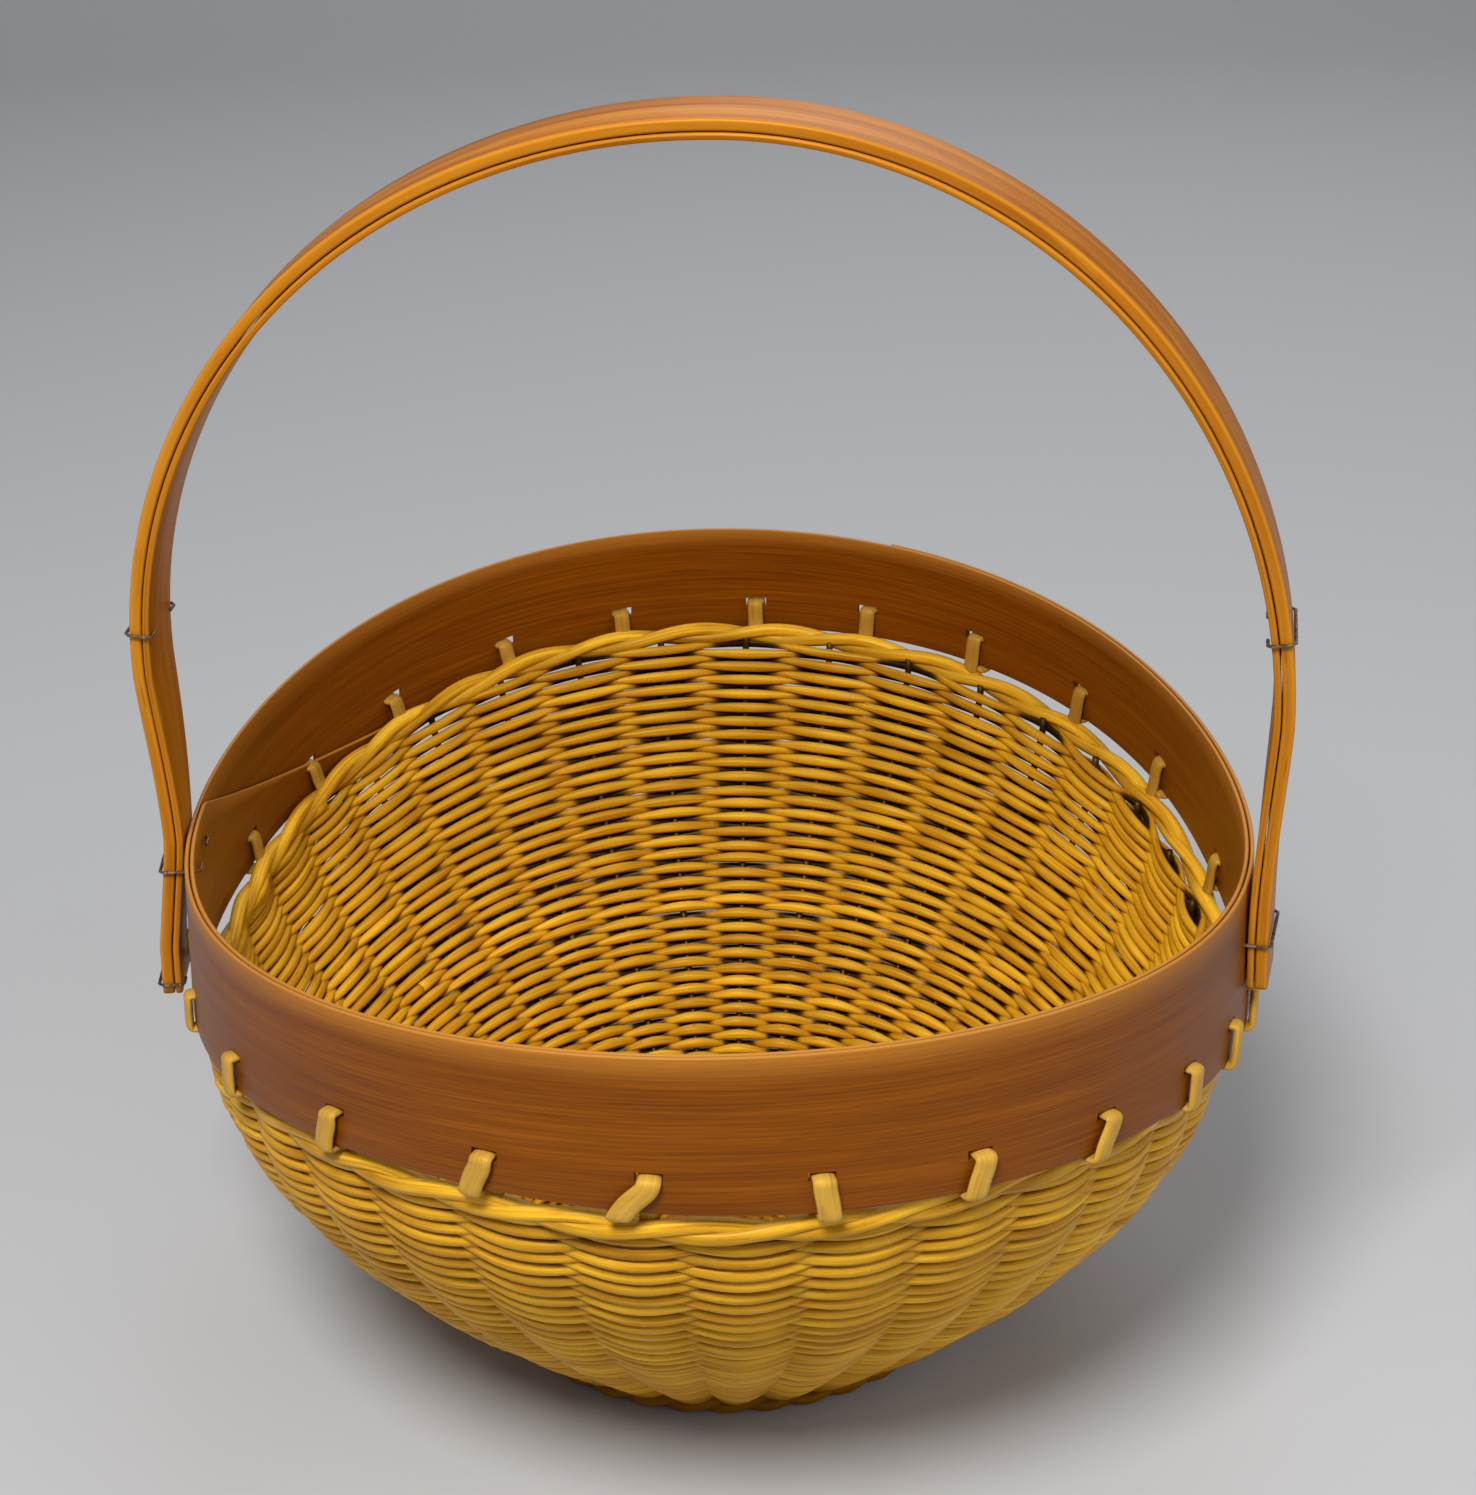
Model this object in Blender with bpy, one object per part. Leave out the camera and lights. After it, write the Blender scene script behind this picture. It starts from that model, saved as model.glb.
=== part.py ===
"""Splint-rim basket: a reed bowl laced to a wide bentwood band, with a fixed two-ply hoop handle."""

import math

import bmesh
import bpy
from mathutils import Matrix, Vector

# Frame: the floor is z = 0, the bowl's axis is Z, the front is -Y and the handle spans left to right.

# Rim band: one veneer strip wound nearly twice round an oval whose front and back ride high.
RIM_RADIUS = 0.1524
RIM_OVAL_SHARE = -0.0785
RIM_SADDLE = 0.0086
RIM_HEIGHT = 0.1585
BAND_HEIGHT = 0.0405
BAND_FLARE = 0.0012
BAND_PLY = 0.0011
BAND_PLY_GAP = 0.0003
BAND_OUTER_END = math.radians(70)
BAND_SINGLE_FROM = math.radians(-230)
BAND_SINGLE_TO = math.radians(-290)
BAND_TAPER_FROM = math.radians(-550)
BAND_INNER_END = math.radians(-590)
BAND_TIP_HEIGHT = 0.0015
BAND_STEP = math.radians(4)
# Local height of the strip as shares of BAND_HEIGHT, every 30 degrees from the right side.
BAND_HEIGHT_SHARES = (1.01, 0.80, 0.77, 0.845, 0.91, 1.01, 1.0, 0.94, 0.895, 0.985, 1.0, 1.015)

# Lacing: flat-oval reed ties through a row of slots. Angles run round from the right side.
TIE_WIDTH = 0.00635
TIE_THICK = 0.0018
TIE_CROWN_SHARE = 0.55
TIE_BULGE = 0.0010
TIE_TUCK = 0.0019
TIE_CORNER_SHARE = 0.75
SLOT_RISE = 0.0092
SLOT_HEIGHT = 0.0026
SLOT_SIDE_CLEARANCE = 0.0004
SLOT_DEPTH = 0.014
TIE_ANGLES_DEG = (
    8.6, 27.3, 43.4, 59.3, 72.6, 85.4, 100.4, 114.2, 129.5, 144.3, 160.0, 183.0,
    200.0, 217.7, 234.9, 250.5, 264.0, 277.4, 290.7, 304.1, 317.3, 328.8, 339.0, 354.0,
)

# Turned border: the roll that finishes the bowl's top, inside the band's lower edge.
BORDER_WIDTH = 0.0056
BORDER_HEIGHT = 0.0052
BORDER_INSET = 0.0057
# Drop of the border's top below the rim as shares of BAND_HEIGHT, every 30 degrees.
BORDER_DROP_SHARES = (1.04, 0.84, 0.775, 0.765, 0.80, 0.93, 1.0, 0.95, 0.965, 1.065, 1.01, 1.035)
BORDER_STEPS = 72
BORDER_SIDES = 10

# Bowl: a round-bottomed shell of reed weaving that rounds in from the rim to the base.
BOWL_TOP_INSET = 0.0040
BOWL_SHIFT = 0.0018
BOWL_WALL = 0.0056
BOWL_BASE_SHARE = 0.44
BOWL_CURVE = 1.68
BOWL_PROBE_SHARE = 0.01
BOWL_RINGS = 12
BOWL_STEPS = 60

# Base: the flat twined disc that the bowl grows from and stands on.
BOWL_LIFT = 0.0026
BASE_FLANGE_REACH = 0.0008
BASE_EDGE_ROUND = 0.0009
BASE_TOP_CROWN = 0.0010
BASE_STEPS = BOWL_STEPS

# Handle: two laminations bent over one half circle, with straight legs outside the band.
HANDLE_WIDTH = 0.0190
HANDLE_OUTER_PLY = 0.0031
HANDLE_INNER_PLY = 0.0018
HANDLE_EDGE_ROUND = 0.0005
HANDLE_RISE = 0.1890
HANDLE_SPRING = 0.0393
HANDLE_LEFT_HALF = 0.1492
HANDLE_RIGHT_HALF = 0.1437
HANDLE_APEX_SHIFT = 0.0072
HANDLE_LEAN = math.radians(3.6)
HANDLE_LEFT_ANGLE = math.radians(183)
HANDLE_RIGHT_ANGLE = math.radians(-21.3)
HANDLE_LEFT_FOOT_DROP = 0.0450
HANDLE_RIGHT_FOOT_DROP = 0.0275
HANDLE_LEFT_STANDOFF = 0.0032
HANDLE_ARC_STEPS = 36
HANDLE_LEG_STEPS = 14
HANDLE_STRIPS = 3

# Wire: staples that pin each leg to the band, and clips that hold the two laminations together.
WIRE_RADIUS = 0.00045
WIRE_SIDES = 8
WIRE_HOLE_CLEARANCE = 0.0003
WIRE_HOLE_DEPTH = 0.016
LEFT_STAPLE_DROP = 0.0085
RIGHT_STAPLE_DROP = 0.0150
STAPLE_CLINCH = 0.0045
LEFT_SPRING_CLIP_HEIGHT = 0.0520
RIGHT_SPRING_CLIP_HEIGHT = 0.0630
LEFT_FOOT_CLIP_DROP = 0.0420
CLIP_HOOK = 0.0040

# Touching pieces keep this much air between their meshes.
TOUCH = 0.0003

REED_GOLD = (0.62, 0.36, 0.10)
REED_DARK = (0.45, 0.24, 0.07)
BAND_BROWN = (0.42, 0.18, 0.06)
HOOP_TAN = (0.60, 0.30, 0.10)
WIRE_STEEL = (0.72, 0.64, 0.50)

BAND_THICK = BAND_PLY + BAND_PLY_GAP + BAND_PLY
HANDLE_THICK = HANDLE_OUTER_PLY + TOUCH + HANDLE_INNER_PLY


def clear_scene():
    for obj in list(bpy.data.objects):
        bpy.data.objects.remove(obj, do_unlink=True)


def make_material(name, colour, roughness, metallic):
    material = bpy.data.materials.new(name)
    material.use_nodes = True
    shader = material.node_tree.nodes["Principled BSDF"]
    shader.inputs["Base Color"].default_value = (*colour, 1)
    shader.inputs["Roughness"].default_value = roughness
    shader.inputs["Metallic"].default_value = metallic
    return material


def finish(bm, name, material, smooth=True):
    """Closes the mesh's normals outwards and adds it to the scene as one named object."""
    bmesh.ops.recalc_face_normals(bm, faces=bm.faces)
    mesh = bpy.data.meshes.new(name)
    bm.to_mesh(mesh)
    bm.free()
    obj = bpy.data.objects.new(name, mesh)
    bpy.context.scene.collection.objects.link(obj)
    obj.data.materials.append(material)
    if smooth:
        obj.data.shade_smooth()
    return obj


def smooth_step(share):
    share = min(max(share, 0), 1)
    return share * share * (3 - 2 * share)


def wrapped_share(shares, angle):
    """A smooth closed curve through shares that stand at even steps of angle."""
    place = angle * len(shares) / (2 * math.pi)
    first = math.floor(place)
    part = place - first
    rest = 1 - part
    before, near, far, after = (shares[(first + k) % len(shares)] for k in (-1, 0, 1, 2))
    leaving = (far - before) / 2
    arriving = (after - near) / 2
    start = near * (1 + 2 * part) + leaving * part
    end = far * (1 + 2 * rest) - arriving * rest
    return start * rest * rest + end * part * part


def band_height(angle):
    return BAND_HEIGHT * wrapped_share(BAND_HEIGHT_SHARES, angle)


def border_drop(angle):
    """Drop of the border's top below the rim's top edge."""
    return BAND_HEIGHT * wrapped_share(BORDER_DROP_SHARES, angle)


def rim_plan(angle):
    """The band's outer face seen from above: the point, its outward normal and its tangent."""
    radius = RIM_RADIUS * (1 + RIM_OVAL_SHARE * math.cos(2 * angle))
    swell = -2 * RIM_RADIUS * RIM_OVAL_SHARE * math.sin(2 * angle)
    out = Vector((math.cos(angle), math.sin(angle), 0))
    along = Vector((-math.sin(angle), math.cos(angle), 0))
    tangent = (out * swell + along * radius).normalized()
    normal = Vector((tangent.y, -tangent.x, 0))
    return out * radius, normal, tangent


def rim_level(angle):
    """Height of the rim's top edge: the sides dip and the front and back rise."""
    return RIM_HEIGHT - RIM_SADDLE * math.cos(2 * angle)


def rim_point(angle, outset, drop):
    """A point outset from the band's outer face and dropped below the rim's top edge."""
    point, normal, _ = rim_plan(angle)
    flare = BAND_FLARE * min(drop / BAND_HEIGHT, 1)
    point = point + normal * (outset + flare)
    point.z = rim_level(angle) - drop
    return point


def lower_edge(angle, outset):
    return rim_point(angle, outset, band_height(angle))


def rim_frame(angle):
    """Outward normal, tangent along the band's lower edge, and the way up square to both."""
    _, normal, _ = rim_plan(angle)
    ahead = lower_edge(angle + BAND_STEP / 2, 0)
    behind = lower_edge(angle - BAND_STEP / 2, 0)
    tangent = (ahead - behind).normalized()
    up = normal.cross(tangent).normalized()
    return normal, tangent, up


def loft(bm, sections, closed):
    """Joins rings of vertices into a tube, with flat end caps unless it closes on itself."""
    rings = [[bm.verts.new(point) for point in section] for section in sections]
    count = len(rings[0])
    last = len(rings) if closed else len(rings) - 1
    for i in range(last):
        near = rings[i]
        far = rings[(i + 1) % len(rings)]
        for j in range(count):
            k = (j + 1) % count
            bm.faces.new((near[j], near[k], far[k], far[j]))
    if not closed:
        bm.faces.new(rings[0])
        bm.faces.new(rings[-1])


def oval_section(half_width, half_height, sides):
    """Points round an ellipse, as pairs of shares of the two half sizes."""
    turns = [2 * math.pi * i / sides for i in range(sides)]
    return [(half_width * math.cos(t), half_height * math.sin(t)) for t in turns]


def lap_depth(angle):
    """How far the strip has wound inwards from the band's outer face at this angle."""
    share = (BAND_SINGLE_FROM - angle) / (BAND_SINGLE_FROM - BAND_SINGLE_TO)
    return (BAND_PLY + BAND_PLY_GAP) * smooth_step(share)


def strip_top_drop(angle):
    """Drop of the strip's top edge: zero, then a long slope down to the inner end's tip."""
    share = (BAND_TAPER_FROM - angle) / (BAND_TAPER_FROM - BAND_INNER_END)
    return max(share, 0) * (band_height(angle) - BAND_TIP_HEIGHT)


def lacing_point(angle, outset, rise):
    """A point outset from the band's outer face, risen square to its sloping bottom edge."""
    _, _, up = rim_frame(angle)
    flare = BAND_FLARE * max(rise, 0) / BAND_HEIGHT
    return lower_edge(angle, outset - flare) + up * rise


def add_box_cutter(bm, centre, axes, sizes):
    turn = Matrix((axes[0], axes[1], axes[2])).transposed().to_4x4()
    scale = Matrix.Diagonal((*sizes, 1))
    bmesh.ops.create_cube(bm, size=1, matrix=Matrix.Translation(centre) @ turn @ scale)


def add_hole_cutter(bm, centre, axis):
    turn = axis.to_track_quat("Z", "Y").to_matrix().to_4x4()
    radius = WIRE_RADIUS + WIRE_HOLE_CLEARANCE
    bmesh.ops.create_cone(
        bm,
        cap_ends=True,
        segments=2 * WIRE_SIDES,
        radius1=radius,
        radius2=radius,
        depth=WIRE_HOLE_DEPTH,
        matrix=Matrix.Translation(centre) @ turn,
    )


def cut(obj, bm, name):
    """Cuts the closed solids in bm from the object, as an exact Boolean."""
    cutter = finish(bm, name, obj.data.materials[0], smooth=False)
    cutter.hide_render = True
    cutter.display_type = "WIRE"
    modifier = obj.modifiers.new(name, "BOOLEAN")
    modifier.operation = "DIFFERENCE"
    modifier.solver = "EXACT"
    modifier.object = cutter


def make_band(material):
    """The wound strip, cut through both turns by the lacing slots and the staple holes."""
    steps = round((BAND_OUTER_END - BAND_INNER_END) / BAND_STEP)
    sections = []
    for i in range(steps + 1):
        angle = BAND_OUTER_END - i * BAND_STEP
        face = -lap_depth(angle)
        top = strip_top_drop(angle)
        sections.append((
            rim_point(angle, face, top),
            lower_edge(angle, face),
            lower_edge(angle, face - BAND_PLY),
            rim_point(angle, face - BAND_PLY, top),
        ))
    bm = bmesh.new()
    loft(bm, sections, closed=False)
    band = finish(bm, "rim_band", material, smooth=False)
    cutters = bmesh.new()
    for degrees in TIE_ANGLES_DEG:
        angle = math.radians(degrees)
        normal, tangent, up = rim_frame(angle)
        sizes = (SLOT_DEPTH, TIE_WIDTH + 2 * SLOT_SIDE_CLEARANCE, SLOT_HEIGHT)
        centre = lacing_point(angle, -BAND_THICK / 2, SLOT_RISE)
        add_box_cutter(cutters, centre, (normal, tangent, up), sizes)
    for staple in band_staples():
        for prong in staple["holes"]:
            add_hole_cutter(cutters, prong, staple["normal"])
    cut(band, cutters, "band_cutter")
    return band


def tie_path(angle):
    """The tie as (outset, rise) pairs, measured from the band's bottom outer corner.

    It starts on the border's top, climbs the band's inner face, comes out through the slot,
    turns down over the outer face and tucks in under the band's lower edge.
    """
    half = TIE_THICK / 2
    border_top = band_height(angle) - border_drop(angle)
    inside = -BAND_THICK - TOUCH - half
    outside = TOUCH + half
    corner = outside * TIE_CORNER_SHARE
    start = border_top + TOUCH
    turn = SLOT_RISE - 2 * half
    return (
        (inside, start),
        (inside, (start + turn) / 2),
        (inside, turn),
        (inside + half / 2, SLOT_RISE - half / 4),
        (-BAND_THICK, SLOT_RISE),
        (0, SLOT_RISE),
        (outside + TIE_BULGE / 2, SLOT_RISE - half / 4),
        (outside + TIE_BULGE, turn),
        (outside + TIE_BULGE / 2, SLOT_RISE / 3),
        (outside, 0),
        (corner, -corner),
        (0, -outside),
        (-TIE_TUCK, -outside),
    )


def tie_section():
    """Flat-oval reed: flat underneath's width, thinner towards both edges."""
    wide = TIE_WIDTH / 2
    thick = TIE_THICK / 2
    edge = thick * TIE_CROWN_SHARE
    shoulder = wide * TIE_CROWN_SHARE
    return (
        (wide, edge), (shoulder, thick), (-shoulder, thick), (-wide, edge),
        (-wide, -edge), (-shoulder, -thick), (shoulder, -thick), (wide, -edge),
    )


def make_tie(number, degrees, material):
    angle = math.radians(degrees)
    _, tangent, _ = rim_frame(angle)
    path = [lacing_point(angle, outset, rise) for outset, rise in tie_path(angle)]
    sections = []
    for i, point in enumerate(path):
        ahead = path[min(i + 1, len(path) - 1)]
        behind = path[max(i - 1, 0)]
        thick_way = (ahead - behind).normalized().cross(tangent)
        sections.append([point + tangent * u + thick_way * v for u, v in tie_section()])
    bm = bmesh.new()
    loft(bm, sections, closed=False)
    return finish(bm, f"lacing_tie_{number:02d}", material)


def border_centre(angle):
    return rim_point(angle, -BORDER_INSET, border_drop(angle) + BORDER_HEIGHT / 2)


def make_border(material):
    sections = []
    for i in range(BORDER_STEPS):
        angle = 2 * math.pi * i / BORDER_STEPS
        _, normal, _ = rim_plan(angle)
        up = Vector((0, 0, 1))
        oval = oval_section(BORDER_WIDTH / 2, BORDER_HEIGHT / 2, BORDER_SIDES)
        sections.append([border_centre(angle) + normal * u + up * v for u, v in oval])
    bm = bmesh.new()
    loft(bm, sections, closed=True)
    return finish(bm, "top_border", material)


def bowl_share(depth):
    """Radius share of the bowl at a depth share: steep at the top, rounding in to the base."""
    return 1 - (1 - BOWL_BASE_SHARE) * depth**BOWL_CURVE


def bowl_point(angle, depth, inset):
    """A point on the bowl's outer face, or inset from it along the profile's own normal."""
    plan, normal, _ = rim_plan(angle)
    top = rim_level(angle) - border_drop(angle) - BORDER_HEIGHT - TOUCH
    span = top - BOWL_LIFT
    rim = plan + normal * (BAND_FLARE - BOWL_TOP_INSET - BOWL_SHIFT * math.cos(angle))
    out = Vector((math.cos(angle), math.sin(angle), 0))
    oval = rim.dot(out) * (1 - depth) + (RIM_RADIUS - BOWL_TOP_INSET) * depth
    low = max(depth - BOWL_PROBE_SHARE, 0)
    high = min(depth + BOWL_PROBE_SHARE, 1)
    inward = oval * (bowl_share(low) - bowl_share(high))
    fall = span * (high - low)
    length = math.hypot(inward, fall)
    radius = oval * bowl_share(depth) - inset * fall / length
    point = out * radius
    point.z = top - span * depth + inset * inward / length
    return point


def make_bowl(material):
    """An open shell with a round hole at the bottom, which the base disc fills."""
    depths = [i / BOWL_RINGS for i in range(BOWL_RINGS + 1)]
    outer = [(depth, 0) for depth in depths]
    inner = [(depth, BOWL_WALL) for depth in reversed(depths)]
    sections = []
    for i in range(BOWL_STEPS):
        angle = 2 * math.pi * i / BOWL_STEPS
        ring = []
        for depth, inset in outer + inner:
            point = bowl_point(angle, depth, inset)
            if inset and depth == 0:
                point.z = bowl_point(angle, 0, 0).z
            ring.append(point)
        sections.append(ring)
    bm = bmesh.new()
    loft(bm, sections, closed=True)
    return finish(bm, "woven_bowl", material)


def make_base(material):
    """The disc fills the bowl's hole, and its flange carries the bowl's lower lip."""
    turns = [2 * math.pi * i / BASE_STEPS for i in range(BASE_STEPS)]
    lip_radius = bowl_point(0, 1, 0).x
    inner_lip = [bowl_point(t, 1, BOWL_WALL) for t in turns]
    top_radius = min(math.hypot(point.x, point.y) for point in inner_lip) - TOUCH
    top = min(point.z for point in inner_lip)
    flange = lip_radius + BASE_FLANGE_REACH
    shelf = BOWL_LIFT - TOUCH
    rings = (
        (flange - BASE_EDGE_ROUND, 0),
        (flange, BASE_EDGE_ROUND),
        (flange, shelf),
        (lip_radius - 2 * TOUCH, shelf),
        (top_radius, top),
        (top_radius / 2, top + BASE_TOP_CROWN),
    )
    sections = []
    for radius, height in rings:
        sections.append([(radius * math.cos(t), radius * math.sin(t), height) for t in turns])
    bm = bmesh.new()
    loft(bm, sections, closed=False)
    return finish(bm, "base_disc", material)


def leg_frame(angle):
    """Where a leg's inner face meets the band: the touching point and the outward normal."""
    _, normal, _ = rim_plan(angle)
    return rim_point(angle, TOUCH, 0), normal


def handle_plane():
    """The upright plane through both legs: a point on it over x = 0, and its sideways direction."""
    left, _ = leg_frame(HANDLE_LEFT_ANGLE)
    right, _ = leg_frame(HANDLE_RIGHT_ANGLE)
    across = Vector((right.x - left.x, right.y - left.y, 0)).normalized()
    origin = Vector((left.x, left.y, 0)) - across * (left.x / across.x)
    return origin, across


def handle_track():
    """Points of the hoop's outer face from the right foot over the top to the left foot.

    Each entry holds the middle of the outer face, the outward direction and the width direction.
    """
    origin, across = handle_plane()
    back = Vector((-across.y, across.x, 0))
    up = Vector((0, 0, math.cos(HANDLE_LEAN))) - back * math.sin(HANDLE_LEAN)
    level = Vector((0, 0, RIM_HEIGHT))
    spring = RIM_HEIGHT + HANDLE_SPRING * up.z
    sides = (
        (1, HANDLE_RIGHT_ANGLE, HANDLE_RIGHT_HALF, RIGHT_STAPLE_DROP, HANDLE_RIGHT_FOOT_DROP, 0),
        (
            -1, HANDLE_LEFT_ANGLE, HANDLE_LEFT_HALF, LEFT_STAPLE_DROP, HANDLE_LEFT_FOOT_DROP,
            HANDLE_LEFT_STANDOFF,
        ),
    )
    legs = []
    for way, angle, half, staple_drop, foot_drop, standoff in sides:
        _, normal = leg_frame(angle)
        above = rim_level(angle) - spring
        leg = []
        for i in range(HANDLE_LEG_STEPS + 1):
            # The leg closes in on the band down to its staple, and below that it follows the band.
            share = 2 * i / HANDLE_LEG_STEPS
            if share < 1:
                drop = above + (staple_drop - above) * share
            else:
                drop = staple_drop + (foot_drop - staple_drop) * (share - 1)
            blend = (min(share, 1) + smooth_step(share)) / 2
            lean = standoff * min(max(drop, 0) / (BAND_HEIGHT - SLOT_RISE), 1)
            flush = rim_point(angle, TOUCH + HANDLE_THICK + lean, drop)
            risen = up * ((flush.z - RIM_HEIGHT) / up.z)
            point = (origin + across * (way * half) + risen) * (1 - blend) + flush * blend
            facing = across * (way * (1 - blend)) + normal * blend
            leg.append((Vector((point.x, point.y, flush.z)), facing.normalized()))
        legs.append(leg)
    arc = []
    for i in range(1, HANDLE_ARC_STEPS):
        turn = math.pi * i / HANDLE_ARC_STEPS
        half = HANDLE_RIGHT_HALF - HANDLE_APEX_SHIFT
        if turn > math.pi / 2:
            half = HANDLE_LEFT_HALF + HANDLE_APEX_SHIFT
        rise = HANDLE_RISE - HANDLE_SPRING
        side = across * (HANDLE_APEX_SHIFT + half * math.cos(turn))
        point = origin + level + side + up * (HANDLE_SPRING + rise * math.sin(turn))
        facing = across * (math.cos(turn) * rise) + up * (math.sin(turn) * half)
        arc.append((point, facing.normalized()))
    entries = legs[0][::-1] + arc + legs[1]
    track = []
    for i, (point, facing) in enumerate(entries):
        ahead = entries[min(i + 1, len(entries) - 1)][0]
        behind = entries[max(i - 1, 0)][0]
        along = (ahead - behind).normalized()
        wide = facing.cross(along).normalized()
        if wide.dot(back) < 0:
            wide = -wide
        facing = wide.cross(along).normalized()
        if facing.dot(entries[i][1]) < 0:
            facing = -facing
        track.append((point, facing, wide))
    return track


def ply_section(top, bottom):
    """A lamination's section as (outward, sideways) pairs, with its long edges eased."""
    half = HANDLE_WIDTH / 2
    ease = HANDLE_EDGE_ROUND
    flat = half - ease
    across = [flat * (1 - 2 * i / HANDLE_STRIPS) for i in range(HANDLE_STRIPS + 1)]
    section = [(bottom, side) for side in across]
    section += [(bottom + ease, -half), (top - ease, -half)]
    section += [(top, side) for side in reversed(across)]
    section += [(top - ease, half), (bottom + ease, half)]
    return section


def make_ply(name, top, bottom, material):
    sections = []
    for point, facing, wide in handle_track():
        sections.append([point + facing * u + wide * v for u, v in ply_section(top, bottom)])
    bm = bmesh.new()
    loft(bm, sections, closed=False)
    return finish(bm, name, material)


def track_at(side, height):
    """The hoop's outer face on one side at a height above the floor."""
    track = handle_track()
    middle = len(track) // 2
    run = track[:middle] if side == "right" else track[:middle:-1]
    for low, high in zip(run, run[1:]):
        if low[0].z <= height <= high[0].z:
            share = (height - low[0].z) / (high[0].z - low[0].z)
            return tuple(low[k] * (1 - share) + high[k] * share for k in range(3))
    return run[0]


def wire(name, path, material):
    """A round wire through the points, with each corner cut to a small bend."""
    points = [path[0]]
    bend = 2 * WIRE_RADIUS
    for before, corner, after in zip(path, path[1:], path[2:]):
        points.append(corner + (before - corner).normalized() * bend)
        points.append(corner + (after - corner).normalized() * bend)
    points.append(path[-1])
    plane = (path[1] - path[0]).cross(path[2] - path[1]).normalized()
    sections = []
    for i, point in enumerate(points):
        ahead = points[min(i + 1, len(points) - 1)]
        behind = points[max(i - 1, 0)]
        side = (ahead - behind).normalized().cross(plane)
        ring = oval_section(WIRE_RADIUS, WIRE_RADIUS, WIRE_SIDES)
        sections.append([point + plane * u + side * v for u, v in ring])
    bm = bmesh.new()
    loft(bm, sections, closed=False)
    return finish(bm, name, material)


def band_staples():
    """Each leg's staple straddles it, passes through the band and is clinched inside."""
    found = []
    for side, angle, drop in (
        ("left", HANDLE_LEFT_ANGLE, LEFT_STAPLE_DROP),
        ("right", HANDLE_RIGHT_ANGLE, RIGHT_STAPLE_DROP),
    ):
        point, _, _ = track_at(side, rim_level(angle) - drop)
        # The prongs go in square to the band, so that they keep to it however the leg leans.
        _, normal, tangent = rim_plan(angle)
        reach = HANDLE_WIDTH / 2 + TOUCH + WIRE_RADIUS
        crown = TOUCH + WIRE_RADIUS
        face = rim_point(angle, 0, drop)
        depth = (point - face).dot(normal) + BAND_THICK + TOUCH + WIRE_RADIUS
        bow = bow_depth(angle, drop, reach)
        path = []
        holes = []
        for way in (-1, 1):
            edge = point + tangent * (way * reach)
            turn = edge - normal * (depth + bow[way])
            tip = turn - tangent * (way * STAPLE_CLINCH)
            lift = normal * clinch_lift(angle, drop, reach)
            ends = [edge + normal * crown, turn, tip + lift]
            path = ends[::-1] + path if way < 0 else path + ends
            holes.append(edge - normal * (depth + bow[way] - BAND_THICK / 2))
        found.append({"side": side, "path": path, "holes": holes, "normal": normal})
    return found


def bow_depth(angle, drop, reach):
    """How much further in the curved band lies at each prong than at the leg's middle."""
    _, normal, tangent = rim_plan(angle)
    middle = rim_point(angle, 0, drop)
    depths = {}
    for way in (-1, 1):
        best = None
        for i in range(-60, 61):
            there = rim_point(angle + BAND_STEP * i / 20, 0, drop)
            along = (there - middle).dot(tangent)
            miss = abs(abs(along) - reach)
            if best is None or miss < best[0]:
                best = (miss, (middle - there).dot(normal))
        depths[way] = best[1]
    return depths


def clinch_lift(angle, drop, reach):
    """How far outwards the curved inner face moves over a clinched end's length."""
    near = bow_depth(angle, drop, reach)[1]
    far = bow_depth(angle, drop, reach - STAPLE_CLINCH)[1]
    return near - far


def clip_path(side, height):
    """A wire clip round both laminations, its hooks bent in over the inner face."""
    point, facing, wide = track_at(side, height)
    reach = HANDLE_WIDTH / 2 + TOUCH + WIRE_RADIUS
    out = TOUCH + WIRE_RADIUS
    path = []
    for way in (-1, 1):
        edge = point + wide * (way * reach)
        turn = edge - facing * (HANDLE_THICK + out)
        ends = [edge + facing * out, turn, turn - wide * (way * CLIP_HOOK)]
        path = ends[::-1] + path if way < 0 else path + ends
    return path


def main():
    clear_scene()
    reed = make_material("reed", REED_GOLD, 0.55, 0)
    border_reed = make_material("border_reed", REED_GOLD, 0.5, 0)
    base_reed = make_material("base_reed", REED_DARK, 0.65, 0)
    tie_reed = make_material("tie_reed", REED_GOLD, 0.45, 0)
    veneer = make_material("veneer", BAND_BROWN, 0.4, 0)
    bentwood = make_material("bentwood", HOOP_TAN, 0.4, 0)
    steel = make_material("steel_wire", WIRE_STEEL, 0.35, 1)

    make_base(base_reed)
    make_bowl(reed)
    make_border(border_reed)
    make_band(veneer)
    for number, degrees in enumerate(TIE_ANGLES_DEG, 1):
        make_tie(number, degrees, tie_reed)
    make_ply("handle_outer_ply", 0, -HANDLE_OUTER_PLY, bentwood)
    make_ply("handle_inner_ply", -HANDLE_OUTER_PLY - TOUCH, -HANDLE_THICK, bentwood)
    for staple in band_staples():
        wire(f"staple_{staple['side']}_band", staple["path"], steel)
    left_spring = RIM_HEIGHT + LEFT_SPRING_CLIP_HEIGHT
    right_spring = RIM_HEIGHT + RIGHT_SPRING_CLIP_HEIGHT
    wire("clip_left_spring", clip_path("left", left_spring), steel)
    wire("clip_right_spring", clip_path("right", right_spring), steel)
    foot = rim_level(HANDLE_LEFT_ANGLE) - LEFT_FOOT_CLIP_DROP
    wire("clip_left_foot", clip_path("left", foot), steel)


main()
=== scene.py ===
"""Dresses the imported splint-rim basket: woven reed bowl, twisted border, laced veneer band and bent hoop."""

import math

import bmesh
import bpy
import numpy as np
from mathutils import Matrix, Vector


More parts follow.
